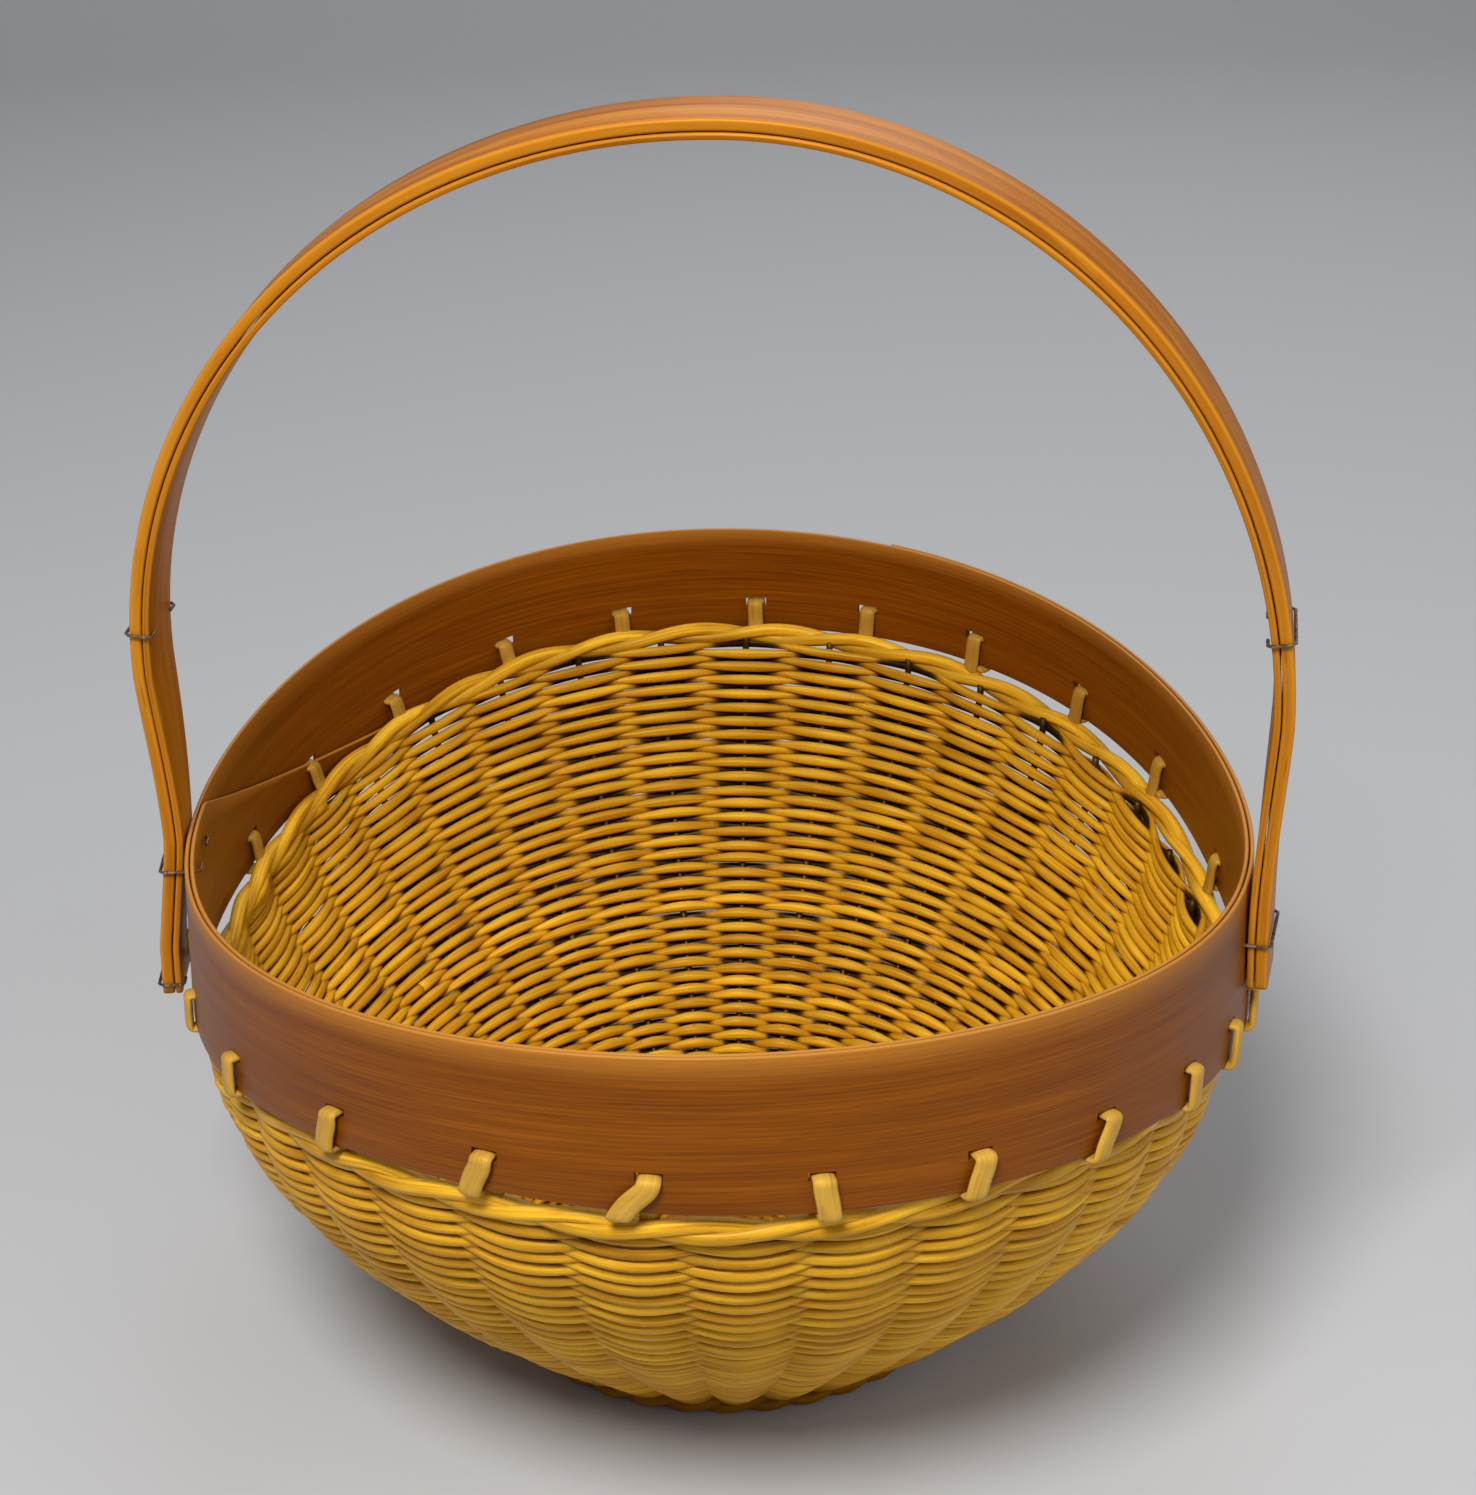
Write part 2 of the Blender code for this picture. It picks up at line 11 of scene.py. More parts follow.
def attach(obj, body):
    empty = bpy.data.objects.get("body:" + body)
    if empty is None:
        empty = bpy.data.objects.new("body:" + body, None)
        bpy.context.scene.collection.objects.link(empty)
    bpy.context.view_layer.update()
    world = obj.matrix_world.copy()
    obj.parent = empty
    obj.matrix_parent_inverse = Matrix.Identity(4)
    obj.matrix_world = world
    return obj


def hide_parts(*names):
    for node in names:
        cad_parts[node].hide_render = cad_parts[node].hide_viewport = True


bl_info = {
    "name": "Splint Rim Basket",
    "version": (1, 0, 0),
    "blender": (4, 5, 0),
    "location": "View3D > Sidebar > Basket",
    "description": "Builds a reed basket with a laced veneer rim and a bent hoop handle over its CAD frame",
    "category": "Add Mesh",
}

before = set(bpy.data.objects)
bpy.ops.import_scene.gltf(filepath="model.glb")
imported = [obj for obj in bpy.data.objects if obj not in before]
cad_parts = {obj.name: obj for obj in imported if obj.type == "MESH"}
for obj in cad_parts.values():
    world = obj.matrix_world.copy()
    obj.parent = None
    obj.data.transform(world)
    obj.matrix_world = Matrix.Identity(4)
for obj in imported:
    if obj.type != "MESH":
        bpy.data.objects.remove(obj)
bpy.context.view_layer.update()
BODY = "root"

# The rim: an oval whose front and back ride higher than its sides.
RIM_RADIUS = 0.1524
RIM_OVAL_SHARE = -0.0785
RIM_SADDLE = 0.0086
RIM_HEIGHT = 0.1585
BAND_HEIGHT = 0.0405
BAND_FLARE = 0.0012
BAND_PLY = 0.0011
BAND_PLY_GAP = 0.0003
BAND_THICK = BAND_PLY + BAND_PLY_GAP + BAND_PLY
BAND_OUTER_END = math.radians(70)
BAND_SINGLE_FROM = math.radians(-230)
BAND_SINGLE_TO = math.radians(-290)
BAND_TAPER_FROM = math.radians(-543)
BAND_INNER_END = math.radians(-590)
BAND_TIP_HEIGHT = 0.0015
BAND_HEIGHT_SHARES = (1.01, 0.80, 0.77, 0.845, 0.91, 1.01, 1.0, 0.94, 0.895, 0.985, 1.0, 1.015)
BORDER_DROP_SHARES = (1.04, 0.84, 0.775, 0.765, 0.80, 0.93, 1.0, 0.95, 0.965, 1.065, 1.01, 1.035)

# Lacing slots and ties, and how far each tie's lower end leans along the rim.
SLOT_RISE = 0.0092
SLOT_HEIGHT = 0.0026
SLOT_DEPTH = 0.014
SLOT_SIDE_CLEARANCE = 0.0004
TIE_ANGLES_DEG = (
    8.6, 27.3, 43.4, 59.3, 72.6, 85.4, 100.4, 114.2, 129.5, 144.3, 160.0, 183.0,
    200.0, 217.7, 234.9, 250.5, 264.0, 277.4, 290.7, 304.1, 317.3, 328.8, 339.0, 354.0,
)
TIE_LEANS_MM = (
    2.0, -1.5, 1.0, -2.0, 1.5, -1.0, 2.0, -1.5, 1.0, -2.0, 1.5, -2.5,
    -2.0, -1.5, -3.0, -3.5, -7.0, 1.5, -2.0, -3.5, 0.0, -2.0, -3.0, 1.0,
)

BORDER_WIDTH = 0.0056
BORDER_HEIGHT = 0.0052
BORDER_INSET = 0.0057

BOWL_TOP_INSET = 0.0040
BOWL_SHIFT = 0.0018
BOWL_WALL = 0.0056
BOWL_BASE_SHARE = 0.44
BOWL_CURVE = 1.68
BOWL_LIFT = 0.0026

HANDLE_WIDTH = 0.0190
HANDLE_OUTER_PLY = 0.0031
HANDLE_INNER_PLY = 0.0018
HANDLE_RISE = 0.1890
HANDLE_SPRING = 0.0393
HANDLE_LEFT_HALF = 0.1492
HANDLE_RIGHT_HALF = 0.1437
HANDLE_APEX_SHIFT = 0.0072
HANDLE_LEAN = math.radians(3.6)
HANDLE_LEFT_ANGLE = math.radians(183)
HANDLE_RIGHT_ANGLE = math.radians(-21.3)
HANDLE_LEFT_FOOT_DROP = 0.0450
HANDLE_RIGHT_FOOT_DROP = 0.0275
HANDLE_LEFT_STANDOFF = 0.0032
LEFT_STAPLE_DROP = 0.0085
RIGHT_STAPLE_DROP = 0.0150
TOUCH = 0.0003
HANDLE_THICK = HANDLE_OUTER_PLY + TOUCH + HANDLE_INNER_PLY

MILLIMETRE = 0.001
FRONT = math.radians(270)


class WeaveSizes(bpy.types.PropertyGroup):
    """Sizes and colours of the reed bowl."""

    stakes: bpy.props.IntProperty(name="Stakes", description="Upright reeds; an odd number, so that one weaver alternates", default=37, min=5)
    first_stake: bpy.props.FloatProperty(name="First stake", description="Angle of one stake, from the right side", default=math.radians(271.4), subtype="ANGLE", unit="ROTATION")
    turns: bpy.props.IntProperty(name="Turns", description="Times that the weaver goes round the wall", default=73, min=4)
    reed_height: bpy.props.FloatProperty(name="Weaver height", description="Height of the weaver over a stake", default=0.0033, unit="LENGTH")
    reed_pinch: bpy.props.FloatProperty(name="Pinched height", description="Height of the weaver between two stakes", default=0.0021, unit="LENGTH")
    reed_depth: bpy.props.FloatProperty(name="Weaver depth", description="Thickness of the weaver through the wall", default=0.0027, unit="LENGTH")
    sway: bpy.props.FloatProperty(name="Sway", description="How far the weaver swings in and out round the stakes", default=0.0022, unit="LENGTH")
    inset: bpy.props.FloatProperty(name="Inset", description="Depth of the stakes below the bowl's outer face", default=0.0033, unit="LENGTH")
    stake_width: bpy.props.FloatProperty(name="Stake width", description="Diameter of a stake", default=0.0021, unit="LENGTH")
    spread: bpy.props.FloatProperty(name="Front spread", description="How far the stakes fan out towards the base at the front", default=0.12)
    front_stretch: bpy.props.FloatProperty(name="Front stretch", description="How much wider the rows stand in the upper front than elsewhere", default=0.36)
    pale: bpy.props.FloatVectorProperty(name="Pale reed", description="Colour of the palest fibres", subtype="COLOR", default=(0.84, 0.46, 0.020))
    golden: bpy.props.FloatVectorProperty(name="Golden reed", description="Main colour of the reed", subtype="COLOR", default=(0.50, 0.205, 0.004))
    amber: bpy.props.FloatVectorProperty(name="Amber reed", description="Colour of the darkest reed", subtype="COLOR", default=(0.130, 0.034, 0.001))


class BorderSizes(bpy.types.PropertyGroup):
    """Sizes of the twisted border on the bowl's top."""

    strand: bpy.props.FloatProperty(name="Strand", description="Diameter of each of the two strands", default=0.0040, unit="LENGTH")
    humps: bpy.props.IntProperty(name="Humps", description="Strokes round the border; an odd number, so that one strand closes on itself", default=37, min=5)
    pale: bpy.props.FloatVectorProperty(name="Border reed", description="Colour of the border's strands", subtype="COLOR", default=(0.92, 0.52, 0.030))


class BaseSizes(bpy.types.PropertyGroup):
    """Sizes of the woven base and its foot."""

    foot_strand: bpy.props.FloatProperty(name="Foot strand", description="Diameter of each strand of the foot", default=0.0034, unit="LENGTH")
    reed: bpy.props.FloatProperty(name="Base reed", description="Diameter of the base's weaver", default=0.0024, unit="LENGTH")
    level: bpy.props.FloatProperty(name="Level", description="Height of the base's middle above the floor", default=0.0042, unit="LENGTH")


class BandSizes(bpy.types.PropertyGroup):
    """Detail and colours of the veneer band."""

    step: bpy.props.FloatProperty(name="Step", description="Angle between two sections of the strip", default=math.radians(1.25), subtype="ANGLE", unit="ROTATION")
    edge_round: bpy.props.FloatProperty(name="Edge round", description="Radius of the strip's long edges", default=0.00045, unit="LENGTH")
    chestnut: bpy.props.FloatVectorProperty(name="Veneer", description="Main colour of the band", subtype="COLOR", default=(0.195, 0.049, 0.0008))
    lit: bpy.props.FloatVectorProperty(name="Pale grain", description="Colour of the band's pale grain", subtype="COLOR", default=(0.31, 0.088, 0.002))
    dark: bpy.props.FloatVectorProperty(name="Dark grain", description="Colour of the band's dark streaks", subtype="COLOR", default=(0.115, 0.024, 0.001))
    raw: bpy.props.FloatVectorProperty(name="Raw edge", description="Colour of cut edges and scuffs", subtype="COLOR", default=(0.62, 0.27, 0.045))


class TieSizes(bpy.types.PropertyGroup):
    """Sizes and colours of the lacing ties."""

    width: bpy.props.FloatProperty(name="Width", description="Width of the flat-oval reed", default=0.0056, unit="LENGTH")
    thick: bpy.props.FloatProperty(name="Thickness", description="Thickness of the flat-oval reed", default=0.0022, unit="LENGTH")
    bulge: bpy.props.FloatProperty(name="Bulge", description="How far a tie stands out between its slot and the band's edge", default=0.0002, unit="LENGTH")
    pale: bpy.props.FloatVectorProperty(name="Tie reed", description="Main colour of the ties", subtype="COLOR", default=(0.66, 0.37, 0.050))
    fibre: bpy.props.FloatVectorProperty(name="Tie fibre", description="Colour of the ties' fine grain lines", subtype="COLOR", default=(0.26, 0.100, 0.006))


class HandleSizes(bpy.types.PropertyGroup):
    """Detail and colours of the hoop handle."""

    arc_steps: bpy.props.IntProperty(name="Arc steps", description="Sections round the hoop's half circle", default=96, min=24)
    leg_steps: bpy.props.IntProperty(name="Leg steps", description="Sections down each leg", default=28, min=8)
    edge_round: bpy.props.FloatProperty(name="Edge round", description="Radius of the hoop's long edges", default=0.0009, unit="LENGTH")
    tan: bpy.props.FloatVectorProperty(name="Hoop", description="Main colour of the hoop", subtype="COLOR", default=(0.40, 0.125, 0.004))
    honey: bpy.props.FloatVectorProperty(name="Hoop pale", description="Colour of the hoop's pale grain", subtype="COLOR", default=(0.60, 0.250, 0.014))
    umber: bpy.props.FloatVectorProperty(name="Hoop dark", description="Colour of the hoop's dark streaks", subtype="COLOR", default=(0.20, 0.052, 0.002))


class StageSizes(bpy.types.PropertyGroup):
    """The camera, the lamps and the floor."""

    eye: bpy.props.FloatVectorProperty(name="Camera", description="Place of the camera", default=(0.0, -0.75514, 0.51161), unit="LENGTH", subtype="XYZ")
    pitch: bpy.props.FloatProperty(name="Pitch", description="How far the camera looks down", default=math.radians(24.58), subtype="ANGLE", unit="ROTATION")
    yaw: bpy.props.FloatProperty(name="Yaw", description="How far the camera looks to the right", default=math.radians(0.407), subtype="ANGLE", unit="ROTATION")
    roll: bpy.props.FloatProperty(name="Roll", description="How far the camera is turned about its view", default=math.radians(-0.983), subtype="ANGLE", unit="ROTATION")
    lens: bpy.props.FloatProperty(name="Lens", description="Focal length in millimetres on a 36 mm sensor", default=75.43)
    floor: bpy.props.FloatVectorProperty(name="Floor", description="Colour of the floor", subtype="COLOR", default=(0.46, 0.47, 0.49))
    key: bpy.props.FloatProperty(name="Key lamp", description="Power of the main lamp", default=34.0, unit="POWER")
    fill: bpy.props.FloatProperty(name="Fill lamp", description="Power of the lamp on the other side", default=6.5, unit="POWER")
    sky: bpy.props.FloatProperty(name="Sky", description="Strength of the even light from all round", default=0.24)


def smooth_step(share):
    share = np.clip(share, 0, 1)
    return share * share * (3 - 2 * share)


def unit(vectors):
    return vectors / np.linalg.norm(vectors, axis=-1, keepdims=True)


def ring_row(values):
    """A column of numbers that multiplies rows of vectors."""
    return np.asarray(values, dtype=float)[..., None]


def wobble(values, seed, waves):
    """Smooth noise between about -1 and 1: a sum of sines of the given rates, the same every run."""
    rng = np.random.default_rng(seed)
    total = np.zeros_like(np.asarray(values, dtype=float))
    for wave in waves:
        total = total + np.sin(values * wave * rng.uniform(0.85, 1.15) + rng.uniform(0, 2 * math.pi))
    return total / len(waves)


def steady_noise(count, seed):
    return np.random.default_rng(seed).uniform(-1, 1, count)


def wrapped_share(shares, angle):
    """A smooth closed curve through shares that stand at even steps of angle."""
    table = np.asarray(shares)
    place = np.asarray(angle, dtype=float) * len(table) / (2 * math.pi)
    first = np.floor(place).astype(int)
    part = place - first
    rest = 1 - part
    before, near, far, after = (table[(first + k) % len(table)] for k in (-1, 0, 1, 2))
    start = near * (1 + 2 * part) + (far - before) / 2 * part
    end = far * (1 + 2 * rest) - (after - near) / 2 * rest
    return start * rest * rest + end * part * part


def band_height(angle):
    return BAND_HEIGHT * wrapped_share(BAND_HEIGHT_SHARES, angle)


def border_drop(angle):
    return BAND_HEIGHT * wrapped_share(BORDER_DROP_SHARES, angle)


def rim_plan(angle):
    """The band's outer face from above: points, outward normals and tangents."""
    angle = np.asarray(angle, dtype=float)
    radius = ring_row(RIM_RADIUS * (1 + RIM_OVAL_SHARE * np.cos(2 * angle)))
    swell = ring_row(-2 * RIM_RADIUS * RIM_OVAL_SHARE * np.sin(2 * angle))
    flat = np.zeros_like(angle)
    out = np.stack((np.cos(angle), np.sin(angle), flat), -1)
    along = np.stack((-np.sin(angle), np.cos(angle), flat), -1)
    tangent = unit(out * swell + along * radius)
    normal = np.stack((tangent[..., 1], -tangent[..., 0], flat), -1)
    return out * radius, normal, tangent


def rim_level(angle):
    return RIM_HEIGHT - RIM_SADDLE * np.cos(2 * np.asarray(angle, dtype=float))


def rim_point(angle, outset, drop):
    """Points outset from the band's outer face and dropped below the rim's top edge."""
    point, normal, _ = rim_plan(angle)
    flare = BAND_FLARE * np.minimum(np.asarray(drop) / BAND_HEIGHT, 1)
    point = point + normal * ring_row(outset + flare)
    point[..., 2] = rim_level(angle) - drop
    return point


def lower_edge(angle, outset):
    return rim_point(angle, outset, band_height(angle))


def rim_frame(angle):
    """Outward normal, tangent along the band's lower edge, and the way up square to both."""
    step = math.radians(2)
    _, normal, _ = rim_plan(angle)
    tangent = unit(lower_edge(angle + step, 0) - lower_edge(angle - step, 0))
    return normal, tangent, unit(np.cross(normal, tangent))


def lacing_point(angle, outset, rise):
    _, _, up = rim_frame(angle)
    flare = BAND_FLARE * np.maximum(rise, 0) / BAND_HEIGHT
    return lower_edge(angle, outset - flare) + up * ring_row(rise)


def bowl_share(depth):
    return 1 - (1 - BOWL_BASE_SHARE) * np.clip(depth, 0, 1) ** BOWL_CURVE


def bowl_surface(angle, depth):
    """Points on the bowl's outer face and the outward normals of its profile."""
    angle = np.asarray(angle, dtype=float)
    depth = np.asarray(depth, dtype=float)
    plan, normal, _ = rim_plan(angle)
    top = rim_level(angle) - border_drop(angle) - BORDER_HEIGHT - TOUCH
    span = top - BOWL_LIFT
    rim = plan + normal * ring_row(BAND_FLARE - BOWL_TOP_INSET - BOWL_SHIFT * np.cos(angle))
    out = np.stack((np.cos(angle), np.sin(angle), np.zeros_like(angle)), -1)
    oval = (rim * out).sum(-1) * (1 - depth) + (RIM_RADIUS - BOWL_TOP_INSET) * depth
    probe = 0.01
    held = np.clip(depth, 0, 1)
    low = np.clip(held - probe, 0, 1)
    high = np.clip(held + probe, 0, 1)
    inward = oval * (bowl_share(low) - bowl_share(high))
    fall = span * (high - low)
    length = np.hypot(inward, fall)
    point = out * ring_row(oval * bowl_share(depth))
    point[..., 2] = top - span * depth
    facing = out * ring_row(fall / length)
    facing[..., 2] = -inward / length
    return point, facing


def depth_table():
    """Depth shares at even steps of length down the bowl's profile, seen at the front."""
    depths = np.linspace(0, 1, 400)
    points, _ = bowl_surface(np.full_like(depths, FRONT), depths)
    runs = np.concatenate(([0], np.cumsum(np.linalg.norm(np.diff(points, axis=0), axis=1))))
    return runs / runs[-1], depths, runs[-1]


def ellipse(sides):
    turns = 2 * math.pi * np.arange(sides) / sides
    return np.cos(turns), np.sin(turns)


def rounded_oblong(corner_share, per_corner):
    """A rectangle from -1 to 1 both ways as (corner sign, arc) parts; radii are added by the caller."""
    parts = []
    for quarter in range(4):
        for i in range(per_corner):
            turn = math.pi / 2 * (quarter + i / (per_corner - 1))
            sign_u = 1 if quarter in (0, 3) else -1
            sign_v = 1 if quarter in (0, 1) else -1
            parts.append((sign_u, sign_v, math.cos(turn), math.sin(turn)))
    return np.array(parts)


def oblong_section(half_u, half_v, radius, per_corner=4):
    """Offsets of a rounded oblong: u and v for every point of its outline."""
    parts = rounded_oblong(1, per_corner)
    u = parts[:, 0] * (half_u - radius) + parts[:, 2] * radius
    v = parts[:, 1] * (half_v - radius) + parts[:, 3] * radius
    return u, v


def run_lengths(points):
    return np.concatenate(([0], np.cumsum(np.linalg.norm(np.diff(points, axis=0), axis=1))))


def tube(points, side, lift, offsets_u, offsets_v, closed=False):
    """Sweeps a section along points. Offsets are (points, sides) arrays along side and lift.

    Returns the vertices, the faces and each vertex's place in the straightened-out reed.
    """
    count, sides = offsets_u.shape
    verts = points[:, None, :] + side[:, None, :] * offsets_u[..., None] + lift[:, None, :] * offsets_v[..., None]
    runs = run_lengths(points)
    grain = np.stack((np.broadcast_to(runs[:, None], offsets_u.shape), offsets_u, offsets_v), -1)
    last = count if closed else count - 1
    i = np.arange(last)[:, None]
    j = np.arange(sides)[None, :]
    near = i * sides
    far = (i + 1) % count * sides
    next_j = (j + 1) % sides
    faces = np.stack((near + j, far + j, far + next_j, near + next_j), -1).reshape(-1, 4)
    caps = [] if closed else [list(range(sides)), list(range((count - 1) * sides, count * sides))[::-1]]
    return verts.reshape(-1, 3), faces, grain.reshape(-1, 3), caps


class Pile:
    """Collects tubes into one mesh, with the grain place and the tone of every vertex."""

    def __init__(self):
        self.verts, self.faces, self.grain, self.tone, self.caps = [], [], [], [], []
        self.count = 0

    def add(self, swept, tone, grain_shift=0.0):
        verts, faces, grain, caps = swept
        self.verts.append(verts)
        self.faces.append(faces + self.count)
        grain = grain.copy()
        grain[:, 0] += grain_shift
        self.grain.append(grain)
        self.tone.append(np.broadcast_to(np.asarray(tone, dtype=float).reshape(-1), (len(verts),)) if np.size(tone) == 1 else np.asarray(tone, dtype=float).reshape(-1))
        self.caps += [[k + self.count for k in cap] for cap in caps]
        self.count += len(verts)

    def build(self, name, material):
        verts = np.concatenate(self.verts)
        if not (np.isfinite(verts).all() and np.isfinite(np.concatenate(self.grain)).all()):
            raise ValueError(f"{name} has a point that is not a number")
        faces = np.concatenate(self.faces)
        mesh = bpy.data.meshes.new(name)
        loops = [faces.reshape(-1)] + [np.array(cap) for cap in self.caps]
        sizes = [np.full(len(faces), 4)] + [np.array([len(cap)]) for cap in self.caps]
        corners = np.concatenate(loops).astype(np.int32)
        sizes = np.concatenate(sizes)
        starts = np.concatenate(([0], np.cumsum(sizes)[:-1])).astype(np.int32)
        mesh.vertices.add(len(verts))
        mesh.vertices.foreach_set("co", verts.astype(np.float32).reshape(-1))
        mesh.loops.add(len(corners))
        mesh.loops.foreach_set("vertex_index", corners)
        mesh.polygons.add(len(starts))
        mesh.polygons.foreach_set("loop_start", starts)
        mesh.update(calc_edges=True)
        mesh.validate()
        set_vertex_values(mesh, np.concatenate(self.grain), np.concatenate(self.tone))
        face_outwards(mesh)
        return place(name, mesh, material)


def set_vertex_values(mesh, grain, tone):
    """Stores where each vertex lies in the straightened reed, in centimetres, and its tone."""
    layer = mesh.attributes.new("grain", "FLOAT_VECTOR", "POINT")
    layer.data.foreach_set("vector", (grain * 100).astype(np.float32).reshape(-1))
    layer = mesh.attributes.new("tone", "FLOAT", "POINT")
    layer.data.foreach_set("value", tone.astype(np.float32))


def face_outwards(mesh):
    bm = bmesh.new()
    bm.from_mesh(mesh)
    bmesh.ops.recalc_face_normals(bm, faces=bm.faces)
    bm.to_mesh(mesh)
    bm.free()


def place(name, mesh, material):
    """Adds the mesh to the scene as a smooth piece that rides on the basket's body."""
    obj = bpy.data.objects.new(name, mesh)
    bpy.context.scene.collection.objects.link(obj)
    mesh.materials.append(material)
    mesh.shade_smooth()
    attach(obj, BODY)
    return obj


class Socket:
    """A shader value that takes part in plain arithmetic by adding Math nodes."""

    def __init__(self, tree, link):
        self.tree = tree
        self.link = link

    def _maths(self, operation, first, second, clamp=False):
        node = self.tree.nodes.new("ShaderNodeMath")
        node.operation = operation
        node.use_clamp = clamp
        for socket, value in zip(node.inputs, (first, second)):
            feed(self.tree, socket, value)
        return Socket(self.tree, node.outputs[0])

    def __add__(self, other):
        return self._maths("ADD", self, other)

    def __radd__(self, other):
        return self._maths("ADD", other, self)

    def __sub__(self, other):
        return self._maths("SUBTRACT", self, other)

    def __rsub__(self, other):
        return self._maths("SUBTRACT", other, self)

    def __mul__(self, other):
        return self._maths("MULTIPLY", self, other)

    def __rmul__(self, other):
        return self._maths("MULTIPLY", other, self)

    def __truediv__(self, other):
        return self._maths("DIVIDE", self, other)

    def __pow__(self, other):
        return self._maths("POWER", self, other)

    def clamped(self):
        return self._maths("MULTIPLY", self, 1.0, clamp=True)


def feed(tree, socket, value):
    """Links a shader value to the socket, or sets the plain value on it."""
    if isinstance(value, Socket):
        tree.links.new(value.link, socket)
    elif isinstance(value, (tuple, list)) and len(value) == 3 and socket.type == "RGBA":
        socket.default_value = (*value, 1)
    else:
        socket.default_value = value


class Finish:
    """One material under construction, with short names for the nodes it uses."""

    def __init__(self, name):
        self.material = bpy.data.materials.new(name)
        self.material.use_nodes = True
        self.tree = self.material.node_tree
        self.shader = self.tree.nodes["Principled BSDF"]

    def node(self, kind, settings=None, values=None, output=0):
        """Adds a node: its settings first, then its sockets' values or links."""
        node = self.tree.nodes.new(kind)
        for key, value in (settings or {}).items():
            if key == "stops":
                ramp = node.color_ramp
                while len(ramp.elements) < len(value):
                    ramp.elements.new(0.5)
                for element, (position, shade) in zip(ramp.elements, value):
                    element.position = position
                    element.color = (*shade, 1) if isinstance(shade, tuple) else (shade, shade, shade, 1)
            else:
                setattr(node, key, value)
        for key, value in (values or {}).items():
            feed(self.tree, node.inputs[key], value)
        return Socket(self.tree, node.outputs[output])

    def attribute(self, name, output):
        return self.node("ShaderNodeAttribute", {"attribute_name": name}, output=output)

    def grain_noise(self, scale, detail=3.0, rough=0.55, shift=(0.0, 0.0, 0.0)):
        """Noise in the straightened reed: scale is (along, across, through), per centimetre."""
        place = self.node("ShaderNodeMapping", {"vector_type": "POINT"}, {"Vector": self.attribute("grain", "Vector"), "Scale": scale, "Location": shift})
        return self.node("ShaderNodeTexNoise", {"noise_dimensions": "3D"}, {"Vector": place, "Scale": 1.0, "Detail": detail, "Roughness": rough})

    def ramp(self, value, stops, interpolation="LINEAR"):
        return self.node("ShaderNodeValToRGB", {"stops": stops}, {"Fac": value})

    def mask(self, value, low, high):
        """0 below low and 1 above high, with a smooth way between them."""
        return self.node("ShaderNodeMapRange", {"interpolation_type": "SMOOTHSTEP"}, {"Value": value, "From Min": low, "From Max": high})

    def blend(self, share, first, second, kind="MIX"):
        """Mixes two colours by share."""
        node = self.tree.nodes.new("ShaderNodeMix")
        node.data_type = "RGBA"
        node.blend_type = kind
        feed(self.tree, node.inputs[0], share)
        feed(self.tree, node.inputs[6], first)
        feed(self.tree, node.inputs[7], second)
        return Socket(self.tree, node.outputs[2])

    def bump(self, height, distance, strength=1.0):
        return self.node("ShaderNodeBump", {}, {"Height": height, "Distance": distance, "Strength": strength})

    def surface(self, **values):
        for key, value in values.items():
            feed(self.tree, self.shader.inputs[key.replace("_", " ")], value)
        return self.material


def colour(value):
    return tuple(value)


def reed_finish(name, pale, golden, amber, roughness=0.46, streak=1.0):
    """Round reed: long fibres, slow patches of colour, and darker where its tone is high, which is the reed's own
    shade and painted shade.
    """
    finish = Finish(name)
    fibre = finish.grain_noise((0.35, 16.0, 16.0), 4.0, 0.6)
    patch = finish.grain_noise((0.22, 0.6, 0.6), 3.0, 0.55, (3.0, 1.0, 7.0))
    speck = finish.grain_noise((2.2, 9.0, 9.0), 2.0, 0.6, (11.0, 5.0, 2.0))
    tone = finish.attribute("tone", "Fac")
    light = (fibre * 0.75 * streak + patch * 0.85 - 0.15).clamped()
    body = finish.ramp(light, ((0.22, colour(amber)), (0.5, colour(golden)), (0.80, colour(pale))))
    worn = finish.blend(finish.mask(speck, 0.62, 0.78) * 0.35, body, colour(amber))
    # High tone paints the reed amber and then nearly black: the reed's own shade and, where the caller gives it,
    # painted shade.
    stain_and_painted_shade = finish.blend((tone * 1.2).clamped(), worn, colour(amber))
    shaded = finish.blend(finish.mask(tone, 0.45, 0.95), stain_and_painted_shade, (0.016, 0.005, 0.0006))
    height = fibre * 0.7 + speck * 0.3
    finish.surface(
        Base_Color=shaded,
        Roughness=(fibre * 0.22 + roughness - 0.10),
        Normal=finish.bump(height, 0.00012, 0.55),
    )
    finish.surface(Specular_IOR_Level=0.5, Specular_Tint=(1.0, 0.72, 0.22))
    return finish.material


def stage_finish(shade):
    """The floor's plain paint, with a very faint mottling."""
    finish = Finish("floor_paint")
    place = finish.node("ShaderNodeTexCoord", output="Object")
    cloud = finish.node("ShaderNodeTexNoise", {}, {"Vector": place, "Scale": 3.0, "Detail": 2.0})
    finish.surface(Base_Color=finish.blend(cloud * 0.06, colour(shade), (0.40, 0.42, 0.46)), Roughness=0.85)
    return finish.material


